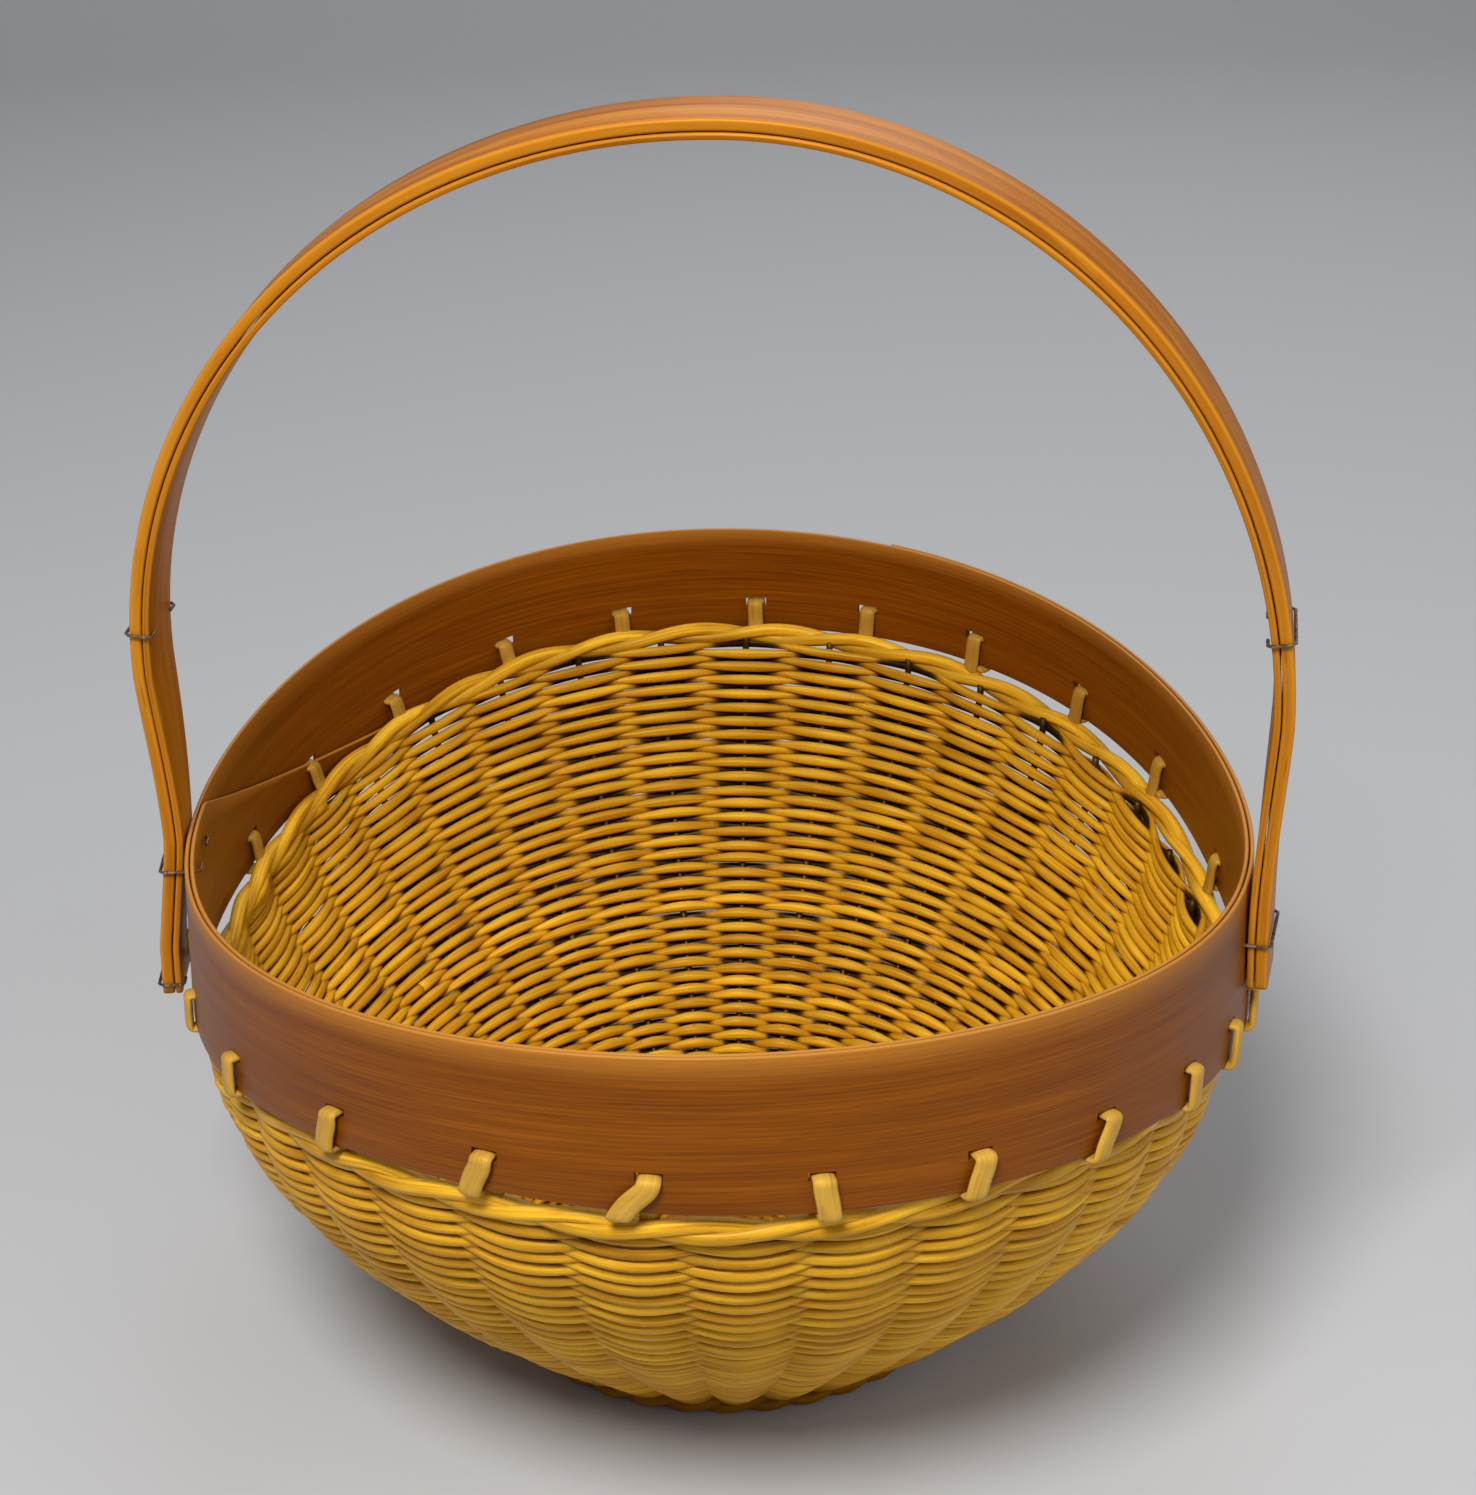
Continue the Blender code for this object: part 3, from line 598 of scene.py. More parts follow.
def weaver_path(sizes, samples):
    """The weaver's run round the wall: angle, depth, swing and turn at every sample."""
    lead = 0.35
    total = round((sizes.turns + lead) * sizes.stakes * samples)
    turn = np.arange(total + 1) / (sizes.stakes * samples) - lead
    shares, depths, _ = depth_table()
    run = turn / sizes.turns
    run = run + 0.0035 * wobble(turn, 5, (0.9, 1.7, 2.9)) * np.sin(math.pi * run)
    base_angle = sizes.first_stake + turn * 2 * math.pi
    front = np.clip(-np.sin(base_angle), 0, 1) ** 1.5
    stretch = 1 + sizes.front_stretch * front * np.sin(2 * math.pi * run)
    run = run + sizes.front_stretch * front * np.sin(math.pi * run) ** 2 / math.pi
    depth = np.interp(np.clip(run, 0, 1), shares, depths) + np.minimum(run, 0) * depths[1] / shares[1]
    swing = np.cos(turn * math.pi * sizes.stakes)
    return base_angle, depth, swing, turn, run, stretch


def fanned(angle, depth, spread):
    """Stakes fan out towards the base at the front."""
    return angle + spread * depth * np.sin(angle - FRONT)


class BASKET_OT_weave(bpy.types.Operator):
    """Builds the bowl's wall: one long weaver in and out of upright stakes."""

    bl_idname = "basket.weave"
    bl_label = "Weave the bowl"

    def execute(self, context):
        sizes = context.scene.basket_weave
        if sizes.stakes % 2 == 0:
            raise ValueError("one weaver needs an odd number of stakes")
        reed = reed_finish("honey_reed", sizes.pale, sizes.golden, sizes.amber)
        samples = 7
        angle, depth, swing, turn, run, stretch = weaver_path(sizes, samples)
        angle = fanned(angle, depth, sizes.spread)
        stroke = turn * sizes.stakes
        jitter = wobble(stroke, 11, (1.3, 2.1, 3.7))
        slack = wobble(stroke, 17, (0.37, 0.81, 1.9))
        point, facing = bowl_surface(angle, depth)
        middle = point - facing * sizes.inset
        sway = sizes.sway * swing * (1 + 0.12 * jitter)
        middle = middle + facing * ring_row(sway)
        _, _, along = rim_plan(angle)
        down = unit(np.cross(facing, along))
        middle = middle + down * ring_row(0.00020 * slack)
        along = unit(np.gradient(middle, axis=0))
        side = unit(facing - along * (facing * along).sum(-1, keepdims=True))
        lift = unit(np.cross(along, side))
        over = np.abs(swing)
        half_height = (sizes.reed_pinch + (sizes.reed_height - sizes.reed_pinch) * over ** 0.8) / 2
        half_height = half_height * stretch ** 0.8 * (1 + 0.06 * wobble(turn, 23, (3.1, 7.3, 12.7)))
        half_depth = sizes.reed_depth / 2 * (1 + 0.05 * wobble(turn, 29, (2.3, 5.9, 11.1)))
        u, v = ellipse(8)
        joins = self.reed_joins(sizes.turns)
        reed_tone = np.zeros(len(turn))
        for number, (start, shade) in enumerate(joins):
            reed_tone[turn >= start] = shade
        # Each length of reed has its own shade, and the reed is darker towards the bottom of the bowl.
        reed_tone = reed_tone + smooth_step((run - 0.7) / 0.3) * 0.10
        # Painted shade: the side of the reed that faces the stakes is painted dark, as in the weave's crevices.
        painted_stake_shade = smooth_step(0.15 - 1.2 * u * swing[:, None])
        tone = np.clip(reed_tone[:, None] + 0.9 * painted_stake_shade, 0, 1)
        half = len(turn) // 2 // (sizes.stakes * samples) * (sizes.stakes * samples)
        names = ("bowl_weaver_upper", "bowl_weaver_lower")
        spans = (slice(0, half + 1), slice(half, len(turn)))
        pieces = []
        for name, span in zip(names, spans):
            pile = Pile()
            swept = tube(middle[span], side[span], lift[span], half_depth[span, None] * u, half_height[span, None] * v)
            pile.add(swept, tone[span], grain_shift=float(turn[span][0]))
            pieces.append(pile.build(name, reed))
        pieces.append(self.build_stakes(sizes, reed))
        for piece in pieces:
            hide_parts("woven_bowl")
        return {"FINISHED"}

    def reed_joins(self, turns):
        """Where each new length of reed starts, and how much darker it is than the palest."""
        starts = []
        place = 0.0
        rng = np.random.default_rng(41)
        while place < turns:
            starts.append((place, float(rng.uniform(0.0, 0.22))))
            place += float(rng.uniform(2.2, 4.6))
        return starts

    def build_stakes(self, sizes, material):
        pile = Pile()
        u, v = ellipse(8)
        run = np.linspace(-0.012, 1.0, 60)
        shares, depths, _ = depth_table()
        for k in range(sizes.stakes):
            depth = np.interp(np.clip(run, 0, 1), shares, depths)
            angle = fanned(sizes.first_stake + 2 * math.pi * k / sizes.stakes + 0 * depth, depth, sizes.spread)
            point, facing = bowl_surface(angle, depth)
            middle = point - facing * sizes.inset
            middle[0, 2] += BORDER_HEIGHT / 2
            along = unit(np.gradient(middle, axis=0))
            _, _, side = rim_plan(angle)
            side = unit(side - along * (side * along).sum(-1, keepdims=True))
            lift = unit(np.cross(along, side))
            radius = sizes.stake_width / 2 * np.ones(len(run))
            swept = tube(middle, side, lift, radius[:, None] * u, radius[:, None] * v)
            # Painted shade: the stakes are painted dark brown to nearly black, as they are seen only in the shaded
            # gaps between strokes.
            tone = 0.75 + 0.2 * abs(math.sin(k * 2.4))
            pile.add(swept, tone, grain_shift=0.31 * k)
        return pile.build("bowl_stakes", material)


def rope_strand(angles, phase, centre, side, lift, across, upright, radius, sides):
    """A tube that winds about a centre line, with its own way round at every step."""
    winding = side * ring_row(np.cos(phase) * across) + lift * ring_row(np.sin(phase) * upright)
    path = centre + winding
    along = unit(np.roll(path, -1, axis=0) - np.roll(path, 1, axis=0))
    outward = unit(side - along * (side * along).sum(-1, keepdims=True))
    up = unit(np.cross(along, outward))
    u, v = ellipse(sides)
    half = np.broadcast_to(np.asarray(radius, dtype=float), (len(path),))[:, None]
    return tube(path, outward, up, half * u, half * v, closed=True)


class BASKET_OT_border(bpy.types.Operator):
    """Builds the twisted border that finishes the bowl's top inside the band."""

    bl_idname = "basket.border"
    bl_label = "Twist the border"

    def execute(self, context):
        sizes = context.scene.basket_border
        weave = context.scene.basket_weave
        if sizes.humps % 2 == 0:
            raise ValueError("one strand closes on itself only with an odd number of humps")
        reed = reed_finish("border_gold", sizes.pale, weave.golden, weave.amber, 0.40)
        steps = sizes.humps * 2 * 12
        angle = np.arange(steps) * 4 * math.pi / steps
        below_band = smooth_step((border_drop(angle) - band_height(angle)) / 0.003)
        outset = 0.0017 * below_band - BORDER_INSET
        centre = rim_point(angle, outset, border_drop(angle) + BORDER_HEIGHT / 2 + 0.0005)
        _, normal, _ = rim_plan(angle)
        lift = np.zeros_like(normal)
        lift[:, 2] = 1
        phase = sizes.humps * angle / 2 + 0.12 * wobble(angle, 3, (3, 5, 8)) * np.sin(angle / 4) ** 2
        radius = sizes.strand / 2 * (1 + 0.05 * np.sin(5 * angle / 2) + 0.03 * np.sin(11 * angle / 2))
        across = BORDER_WIDTH / 2 - sizes.strand / 2
        upright = BORDER_HEIGHT / 2 - sizes.strand / 2 + 0.0010
        swept = rope_strand(angle, phase, centre, normal, lift, across, upright, radius, 12)
        # Painted light and shade: each strand is lighter where it winds over the top and darker where it winds under,
        # with a little random tone.
        tone = 0.14 - 0.20 * np.sin(phase) + 0.05 * wobble(angle, 9, (7, 13))
        pile = Pile()
        pile.add(swept, np.repeat(np.clip(tone, 0, 1), 12))
        piece = pile.build("twisted_border", reed)
        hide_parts("top_border")
        return {"FINISHED"}


class BASKET_OT_base(bpy.types.Operator):
    """Builds the base: spokes, a flat spiral weaver and the twisted foot."""

    bl_idname = "basket.base"
    bl_label = "Weave the base"

    def execute(self, context):
        sizes = context.scene.basket_base
        weave = context.scene.basket_weave
        reed = reed_finish("base_amber", weave.golden, tuple(c * 0.62 for c in weave.golden), weave.amber, 0.6)
        lip = float(bowl_surface(np.array([0.0]), np.array([1.0]))[0][0, 0])
        pieces = [
            self.build_foot(sizes, weave, reed, lip),
            self.build_spokes(sizes, weave, reed, lip),
            self.build_spiral(sizes, weave, reed, lip),
        ]
        for piece in pieces:
            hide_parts("base_disc")
        return {"FINISHED"}

    def build_foot(self, sizes, weave, material, lip):
        steps = weave.stakes * 2 * 12
        angle = np.arange(steps) * 4 * math.pi / steps
        radius = lip - 0.0004
        rise = sizes.foot_strand / 2 - TOUCH
        centre = np.stack((radius * np.cos(angle), radius * np.sin(angle), 0 * angle + rise + sizes.foot_strand / 2), -1)
        normal = np.stack((np.cos(angle), np.sin(angle), 0 * angle), -1)
        lift = np.zeros_like(normal)
        lift[:, 2] = 1
        phase = weave.stakes * angle / 2
        swept = rope_strand(angle, phase, centre, normal, lift, 0.0012, rise, sizes.foot_strand / 2, 10)
        pile = Pile()
        pile.add(swept, 0.42)
        return pile.build("foot_rope", material)

    def build_spokes(self, sizes, weave, material, lip):
        """One stick at each of the bowl's stakes runs out to the wall, in two layers; every fourth starts at the
        middle.
        """
        pile = Pile()
        u, v = ellipse(8)
        half_count = weave.stakes // 2
        for k in range(weave.stakes):
            angle = weave.first_stake + 2 * math.pi * k / weave.stakes
            start = 0.0008 if k % 4 == 0 else 0.007
            radius = np.linspace(start, lip - 0.002, 20)
            level = sizes.level + 0.0004 * math.cos(math.pi * k)
            middle = np.stack((radius * math.cos(angle), radius * math.sin(angle), 0 * radius + level), -1)
            along = unit(np.gradient(middle, axis=0))
            lift = np.zeros_like(middle)
            lift[:, 2] = 1
            side = unit(np.cross(along, lift))
            width = weave.stake_width / 2 * np.ones(len(radius))
            swept = tube(middle, side, lift, width[:, None] * u, width[:, None] * v)
            pile.add(swept, 0.35 + 0.15 * abs(math.sin(1.7 * k)), grain_shift=0.2 * k)
        return pile.build("base_spokes", material)

    def build_spiral(self, sizes, weave, material, lip):
        turns = int((lip - 0.002) / (sizes.reed * 0.80))
        samples = 6
        total = turns * weave.stakes * samples
        turn = np.arange(total + 1) / (weave.stakes * samples)
        radius = 0.0012 + (lip - 0.0026 - 0.0012) * turn / turns
        angle = weave.first_stake + turn * 2 * math.pi
        swing = np.cos(turn * math.pi * weave.stakes)
        swing = swing * smooth_step((radius - 0.008) / 0.010)
        middle = np.stack((radius * np.cos(angle), radius * np.sin(angle), sizes.level + 0.0014 * swing), -1)
        along = unit(np.gradient(middle, axis=0))
        lift = np.zeros_like(middle)
        lift[:, 2] = 1
        side = unit(np.cross(lift, along))
        lift = unit(np.cross(along, side))
        u, v = ellipse(7)
        half = sizes.reed / 2 * (1 + 0.06 * wobble(turn, 47, (3.0, 8.0)))
        swept = tube(middle, side, lift, half[:, None] * u, half[:, None] * v * 0.9)
        tone = 0.35 + 0.12 * wobble(turn, 53, (1.1, 2.3))
        pile = Pile()
        pile.add(swept, np.repeat(tone, len(u)))
        return pile.build("base_spiral", material)


def lap_depth(angle):
    share = (BAND_SINGLE_FROM - angle) / (BAND_SINGLE_FROM - BAND_SINGLE_TO)
    return (BAND_PLY + BAND_PLY_GAP) * smooth_step(share)


def strip_top_drop(angle):
    """Drop of the strip's top edge: none, then a curved slope down to the inner end's tip."""
    share = np.clip((BAND_TAPER_FROM - angle) / (BAND_TAPER_FROM - BAND_INNER_END), 0, 1)
    return (1 - (1 - share) ** 1.3) * (band_height(angle) - BAND_TIP_HEIGHT)


def band_finish(sizes):
    """Stained veneer: fine grain along the strip, dark streaks, and raw pale edges and scuffs."""
    finish = Finish("chestnut_veneer")
    fine = finish.grain_noise((0.22, 24.0, 3.0), 5.0, 0.66)
    broad = finish.grain_noise((0.10, 2.6, 1.0), 3.0, 0.5, (5.0, 2.0, 0.0))
    streak = finish.grain_noise((0.55, 9.0, 1.0), 3.0, 0.6, (1.0, 8.0, 4.0))
    scuff = finish.grain_noise((0.55, 5.5, 1.0), 5.0, 0.7, (9.0, 3.0, 1.0))
    raw = finish.attribute("tone", "Fac")
    light = (fine * 1.05 + broad * 0.40 - 0.24).clamped()
    body = finish.ramp(light, ((0.26, colour(sizes.dark)), (0.50, colour(sizes.chestnut)), (0.80, colour(sizes.lit))))
    lined = finish.blend(finish.mask(streak, 0.58, 0.72) * 0.55, body, colour(sizes.dark))
    rubbed = finish.blend(finish.mask(scuff, 0.70, 0.80) * 0.35, lined, colour(sizes.raw))
    edged = finish.blend(raw.clamped(), rubbed, colour(sizes.raw))
    finish.surface(
        Base_Color=edged,
        Roughness=fine * 0.25 + 0.30,
        Normal=finish.bump(fine * 0.6 + streak * 0.4, 0.00010, 0.5),
    )
    finish.surface(Specular_IOR_Level=0.35, Specular_Tint=(1.0, 0.62, 0.26))
    return finish.material


class BASKET_OT_band(bpy.types.Operator):
    """Builds the veneer strip wound nearly twice round the rim, with its lacing slots."""

    bl_idname = "basket.band"
    bl_label = "Wind the band"

    def execute(self, context):
        sizes = context.scene.basket_band
        ties = context.scene.basket_ties
        veneer = band_finish(sizes)
        angle, slots = self.strip_angles(sizes, ties)
        face = -lap_depth(angle)
        top = strip_top_drop(angle)
        full = band_height(angle)
        run = run_lengths(rim_point(angle, face, top))
        corner = sizes.edge_round
        outline, slot_rows = self.strip_outline(corner, top, full)
        sides = len(outline)
        verts = np.stack([rim_point(angle, face + outset, drop) for outset, drop, _ in outline], 1)
        grain = np.stack([np.stack((run, -drop, np.full_like(run, outset)), -1) for outset, drop, _ in outline], 1)
        tone = np.stack([np.full_like(run, raw) for _, _, raw in outline], 1)
        faces, caps = self.strip_faces(len(angle), sides, slots, slot_rows)
        pile = Pile()
        pile.add((verts.reshape(-1, 3), faces, grain.reshape(-1, 3), caps), tone.reshape(-1))
        band = pile.build("veneer_band", veneer)
        band.data.set_sharp_from_angle(angle=math.radians(50))
        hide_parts("rim_band")
        return {"FINISHED"}

    def strip_angles(self, sizes, ties):
        """Angles down the strip from its outer end, with one at each side and the middle of every slot."""
        steps = round((BAND_OUTER_END - BAND_INNER_END) / sizes.step)
        angles = np.linspace(BAND_OUTER_END, BAND_INNER_END, steps + 1)
        width = ties.width + 2 * SLOT_SIDE_CLEARANCE
        spans = []
        for degrees in TIE_ANGLES_DEG:
            plan, _, _ = rim_plan(math.radians(degrees))
            half = width / 2 / float(np.linalg.norm(plan[:2]))
            for turn in (-2, -1, 0):
                middle = math.radians(degrees) + 2 * math.pi * turn
                if BAND_INNER_END + 2 * half < middle < BAND_OUTER_END - 2 * half:
                    spans.append((middle + half, middle, middle - half))
        clear = np.ones(len(angles), dtype=bool)
        for high, _, low in spans:
            clear &= (angles > high + sizes.step * 0.3) | (angles < low - sizes.step * 0.3)
        clear[[0, -1]] = True
        angles = np.sort(np.concatenate((angles[clear], np.array(spans).reshape(-1))))[::-1]
        slots = [int(np.argmin(np.abs(angles - high))) for high, _, _ in spans]
        return angles, slots

    def strip_outline(self, corner, top, full):
        """The strip's section as (outset, drop, rawness), and where the slot's rows stand in it."""
        arcs = [(math.cos(t), math.sin(t)) for t in np.linspace(0, math.pi / 2, 4)]
        slot_top = full - SLOT_RISE - SLOT_HEIGHT / 2
        rows = [top + (slot_top - top) * share for share in (0.25, 0.5, 0.75)]
        rows += [slot_top, slot_top + SLOT_HEIGHT, full - SLOT_RISE / 2]
        rows = [np.maximum(row, top + corner + 0.00005 * (k + 1)) for k, row in enumerate(rows)]
        outline = [(-corner + corner * c, top + corner - corner * s, 0.35 + 0.3 * s) for c, s in arcs]
        outline += [(-BAND_PLY + corner - corner * s, top + corner - corner * c, 0.65 - 0.3 * s) for c, s in arcs]
        inner = len(outline)
        outline += [(-BAND_PLY, row, 0.0) for row in rows]
        outline += [(-BAND_PLY + corner - corner * c, full - corner + corner * s, 0.0) for c, s in arcs]
        outline += [(-corner + corner * s, full - corner + corner * c, 0.0) for c, s in arcs]
        outer = len(outline)
        outline += [(0.0, row, 0.0) for row in reversed(rows)]
        return outline, ((inner + 3, inner + 4), (outer + 2, outer + 1))

    def strip_faces(self, count, sides, slots, slot_rows):
        """The strip's quads, with a tunnel from face to face at every slot."""
        (inner_top, inner_low), (outer_top, outer_low) = slot_rows
        columns = {column + k for column in slots for k in (0, 1)}
        faces = []
        for i in range(count - 1):
            here, there = i * sides, (i + 1) * sides
            for j in range(sides):
                if i in columns and j in (inner_top, outer_low):
                    continue
                k = (j + 1) % sides
                faces.append((here + j, there + j, there + k, here + k))
            if i in columns:
                faces.append((here + outer_top, here + inner_top, there + inner_top, there + outer_top))
                faces.append((here + outer_low, there + outer_low, there + inner_low, here + inner_low))
        for column in slots:
            for i in (column, column + 2):
                here = i * sides
                faces.append((here + outer_top, here + outer_low, here + inner_low, here + inner_top))
        last = (count - 1) * sides
        return np.array(faces), [list(range(sides)), list(range(last, last + sides))[::-1]]


def tie_finish(sizes):
    """Pale flat-oval reed with close dark lines along it."""
    finish = Finish("tie_straw")
    lines = finish.grain_noise((0.25, 34.0, 4.0), 3.0, 0.55)
    patch = finish.grain_noise((1.1, 3.0, 1.0), 3.0, 0.55, (4.0, 4.0, 0.0))
    tone = finish.attribute("tone", "Fac")
    light = (lines * 0.85 + patch * 0.55 - 0.12).clamped()
    body = finish.ramp(light, ((0.28, colour(sizes.fibre)), (0.50, tuple(0.75 * c for c in sizes.pale)), (0.78, colour(sizes.pale))))
    # Darker where the tone is high: each tie's own tone, and painted shade on the stretch inside the band.
    stain_and_painted_shade = finish.blend(tone.clamped(), body, colour(sizes.fibre))
    finish.surface(
        Base_Color=stain_and_painted_shade,
        Roughness=lines * 0.2 + 0.34,
        Normal=finish.bump(lines, 0.00014, 0.6),
    )
    finish.surface(Specular_IOR_Level=0.4, Specular_Tint=(1.0, 0.76, 0.34))
    return finish.material


def eased(points, parts):
    """A smooth curve through the points, with the given number of parts between two of them."""
    padded = np.concatenate((2 * points[:1] - points[1:2], points, 2 * points[-1:] - points[-2:-1]))
    result = []
    for k in range(1, len(padded) - 2):
        before, near, far, after = padded[k - 1], padded[k], padded[k + 1], padded[k + 2]
        for i in range(parts):
            t = i / parts
            result.append(0.5 * (2 * near + (far - before) * t + (2 * before - 5 * near + 4 * far - after) * t * t + (3 * near - before - 3 * far + after) * t ** 3))
    result.append(points[-1])
    return np.array(result)


class BASKET_OT_ties(bpy.types.Operator):
    """Builds the lacing: each tie comes out of its slot and turns under the band."""

    bl_idname = "basket.ties"
    bl_label = "Lace the ties"

    def execute(self, context):
        sizes = context.scene.basket_ties
        straw = tie_finish(sizes)
        for number, (degrees, lean) in enumerate(zip(TIE_ANGLES_DEG, TIE_LEANS_MM), 1):
            self.build_tie(sizes, number, math.radians(degrees), lean * MILLIMETRE, straw)
        return {"FINISHED"}

    def build_tie(self, sizes, number, angle, lean, material):
        half = sizes.thick / 2
        spread = steady_noise(6, 100 + number)
        border_top = float(band_height(angle) - border_drop(angle))
        inside = -BAND_THICK - TOUCH - half
        outside = TOUCH + half
        bulge = sizes.bulge * (1 + 0.25 * spread[0])
        level = SLOT_RISE - 0.0003
        turn = level - 2 * half
        start = min(border_top - BORDER_HEIGHT * 0.35, turn - 0.001)
        path = np.array((
            (inside - 0.0012, start, 0.10),
            (inside - 0.0004, (start + turn) / 2, 0.05),
            (inside, turn, 0),
            (inside + half / 2, level - half / 4, 0),
            (-BAND_THICK, level, 0),
            (0, level, 0),
            (outside + bulge / 2, level - half / 4, 0),
            (outside + bulge, turn, 0.12),
            (outside + bulge * 0.7, SLOT_RISE / 3, 0.62),
            (outside + bulge * 0.1, 0, 0.92),
            (outside * 0.62, -outside * 0.62, 1.0),
            (0, -outside * 0.82, 1.0),
            (-0.0019, -outside * 0.82, 1.0),
            (-BORDER_INSET * 0.75, -outside * 0.6, 1.0),
        ))
        path = eased(path, 4)
        _, tangent, _ = rim_frame(angle)
        points = np.array([lacing_point(angle, u, w) for u, w, _ in path]) + tangent * ring_row(path[:, 2] * lean)
        along = unit(np.gradient(points, axis=0))
        side = unit(tangent - along * (along @ tangent)[:, None])
        twist = np.radians(4.0) * spread[1] * np.linspace(0, 1, len(points))
        thick_way = unit(np.cross(along, side))
        turned = side * ring_row(np.cos(twist)) + thick_way * ring_row(np.sin(twist))
        thick_way = unit(np.cross(along, turned))
        u, v = ellipse(16)
        wide = sizes.width / 2 * np.sign(u) * np.abs(u) ** 0.9
        thick = half * np.sign(v) * np.abs(v) ** 0.95
        width_share = (1 + 0.03 * spread[2] * np.sin(np.linspace(0, 3, len(points)))) * np.where(path[:, 0] < -BAND_THICK, 0.86, 1.0)
        swept = tube(points, turned, thick_way, width_share[:, None] * wide, np.ones((len(points), 1)) * thick)
        pile = Pile()
        worn = 0.10 + 0.10 * spread[3]
        # Painted shade: the stretch inside and under the band, between band and border, is painted darker; worn is
        # each tie's own tone.
        tone = np.full(len(points), worn) + 0.35 * (path[:, 0] < -BAND_THICK * 0.2)
        pile.add(swept, np.repeat(np.clip(tone, 0, 0.8), len(u)), grain_shift=0.7 * number)
        piece = pile.build(f"flat_tie_{number:02d}", material)
        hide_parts(f"lacing_tie_{number:02d}")


def leg_frame(angle):
    _, normal, _ = rim_plan(angle)
    return rim_point(angle, TOUCH, 0), normal


def handle_plane():
    """The upright plane through both legs: a point on it over x = 0, and its sideways direction."""
    left, _ = leg_frame(HANDLE_LEFT_ANGLE)
    right, _ = leg_frame(HANDLE_RIGHT_ANGLE)
    across = np.array((right[0] - left[0], right[1] - left[1], 0))
    across = across / np.linalg.norm(across)
    origin = np.array((left[0], left[1], 0)) - across * (left[0] / across[0])
    return origin, across


def handle_track(arc_steps, leg_steps):
    """The hoop's outer face from the right foot over the top to the left foot: points, facings, widths."""
    origin, across = handle_plane()
    back = np.array((-across[1], across[0], 0))
    up = np.array((0, 0, math.cos(HANDLE_LEAN))) - back * math.sin(HANDLE_LEAN)
    level = np.array((0, 0, RIM_HEIGHT))
    spring = RIM_HEIGHT + HANDLE_SPRING * up[2]
    sides = (
        (1, HANDLE_RIGHT_ANGLE, HANDLE_RIGHT_HALF, RIGHT_STAPLE_DROP, HANDLE_RIGHT_FOOT_DROP, 0),
        (-1, HANDLE_LEFT_ANGLE, HANDLE_LEFT_HALF, LEFT_STAPLE_DROP, HANDLE_LEFT_FOOT_DROP, HANDLE_LEFT_STANDOFF),
    )
    legs = []
    for way, angle, half, staple_drop, foot_drop, standoff in sides:
        _, normal = leg_frame(angle)
        above = float(rim_level(angle)) - spring
        leg = []
        for i in range(leg_steps + 1):
            share = 2 * i / leg_steps
            if share < 1:
                drop = above + (staple_drop - above) * share
            else:
                drop = staple_drop + (foot_drop - staple_drop) * (share - 1)
            blend = (min(share, 1) + float(smooth_step(share))) / 2
            lean = standoff * min(max(drop, 0) / (BAND_HEIGHT - SLOT_RISE), 1)
            flush = rim_point(angle, TOUCH + HANDLE_THICK + lean, drop)
            risen = up * ((flush[2] - RIM_HEIGHT) / up[2])
            point = (origin + across * (way * half) + risen) * (1 - blend) + flush * blend
            point[2] = flush[2]
            facing = across * (way * (1 - blend)) + normal * blend
            leg.append((point, facing / np.linalg.norm(facing)))
        legs.append(leg)
    arc = []
    for i in range(1, arc_steps):
        turn = math.pi * i / arc_steps
        half = HANDLE_RIGHT_HALF - HANDLE_APEX_SHIFT
        if turn > math.pi / 2:
            half = HANDLE_LEFT_HALF + HANDLE_APEX_SHIFT
        rise = HANDLE_RISE - HANDLE_SPRING
        side = across * (HANDLE_APEX_SHIFT + half * math.cos(turn))
        point = origin + level + side + up * (HANDLE_SPRING + rise * math.sin(turn))
        facing = across * (math.cos(turn) * rise) + up * (math.sin(turn) * half)
        arc.append((point, facing / np.linalg.norm(facing)))
    entries = legs[0][::-1] + arc + legs[1]
    points = np.array([entry[0] for entry in entries])
    facings = np.array([entry[1] for entry in entries])
    along = unit(np.gradient(points, axis=0))
    wide = unit(np.cross(facings, along))
    wide = wide * np.sign(wide @ back)[:, None]
    better = unit(np.cross(wide, along))
    better = better * np.sign((better * facings).sum(-1))[:, None]
    return points, better, wide


def hoop_finish(sizes):
    """Bent hardwood: straight grain, slow bands of colour, darker pores and a rubbed satin face."""
    finish = Finish("hoop_bentwood")
    fine = finish.grain_noise((0.16, 4.0, 26.0), 5.0, 0.6)
    broad = finish.grain_noise((0.07, 1.0, 2.4), 3.0, 0.5, (2.0, 0.0, 6.0))
    pore = finish.grain_noise((0.9, 10.0, 42.0), 2.0, 0.5, (7.0, 1.0, 2.0))
    rub = finish.grain_noise((0.35, 1.0, 1.6), 4.0, 0.6, (1.0, 3.0, 5.0))
    tone = finish.attribute("tone", "Fac")
    light = (fine * 0.62 + broad * 0.80 - 0.22).clamped()
    body = finish.ramp(light, ((0.24, colour(sizes.umber)), (0.48, colour(sizes.tan)), (0.80, colour(sizes.honey))))
    pored = finish.blend(finish.mask(pore, 0.64, 0.76) * 0.5, body, colour(sizes.umber))
    rubbed = finish.blend(finish.mask(rub, 0.56, 0.74) * 0.4, pored, colour(sizes.honey))
    edged = finish.blend(tone.clamped(), rubbed, colour(sizes.honey))
    finish.surface(
        Base_Color=edged,
        Roughness=fine * 0.22 + 0.30,
        Normal=finish.bump(fine * 0.6 + pore * 0.4, 0.00010, 0.5),
    )
    finish.surface(Specular_IOR_Level=0.35, Specular_Tint=(1.0, 0.62, 0.26))
    return finish.material


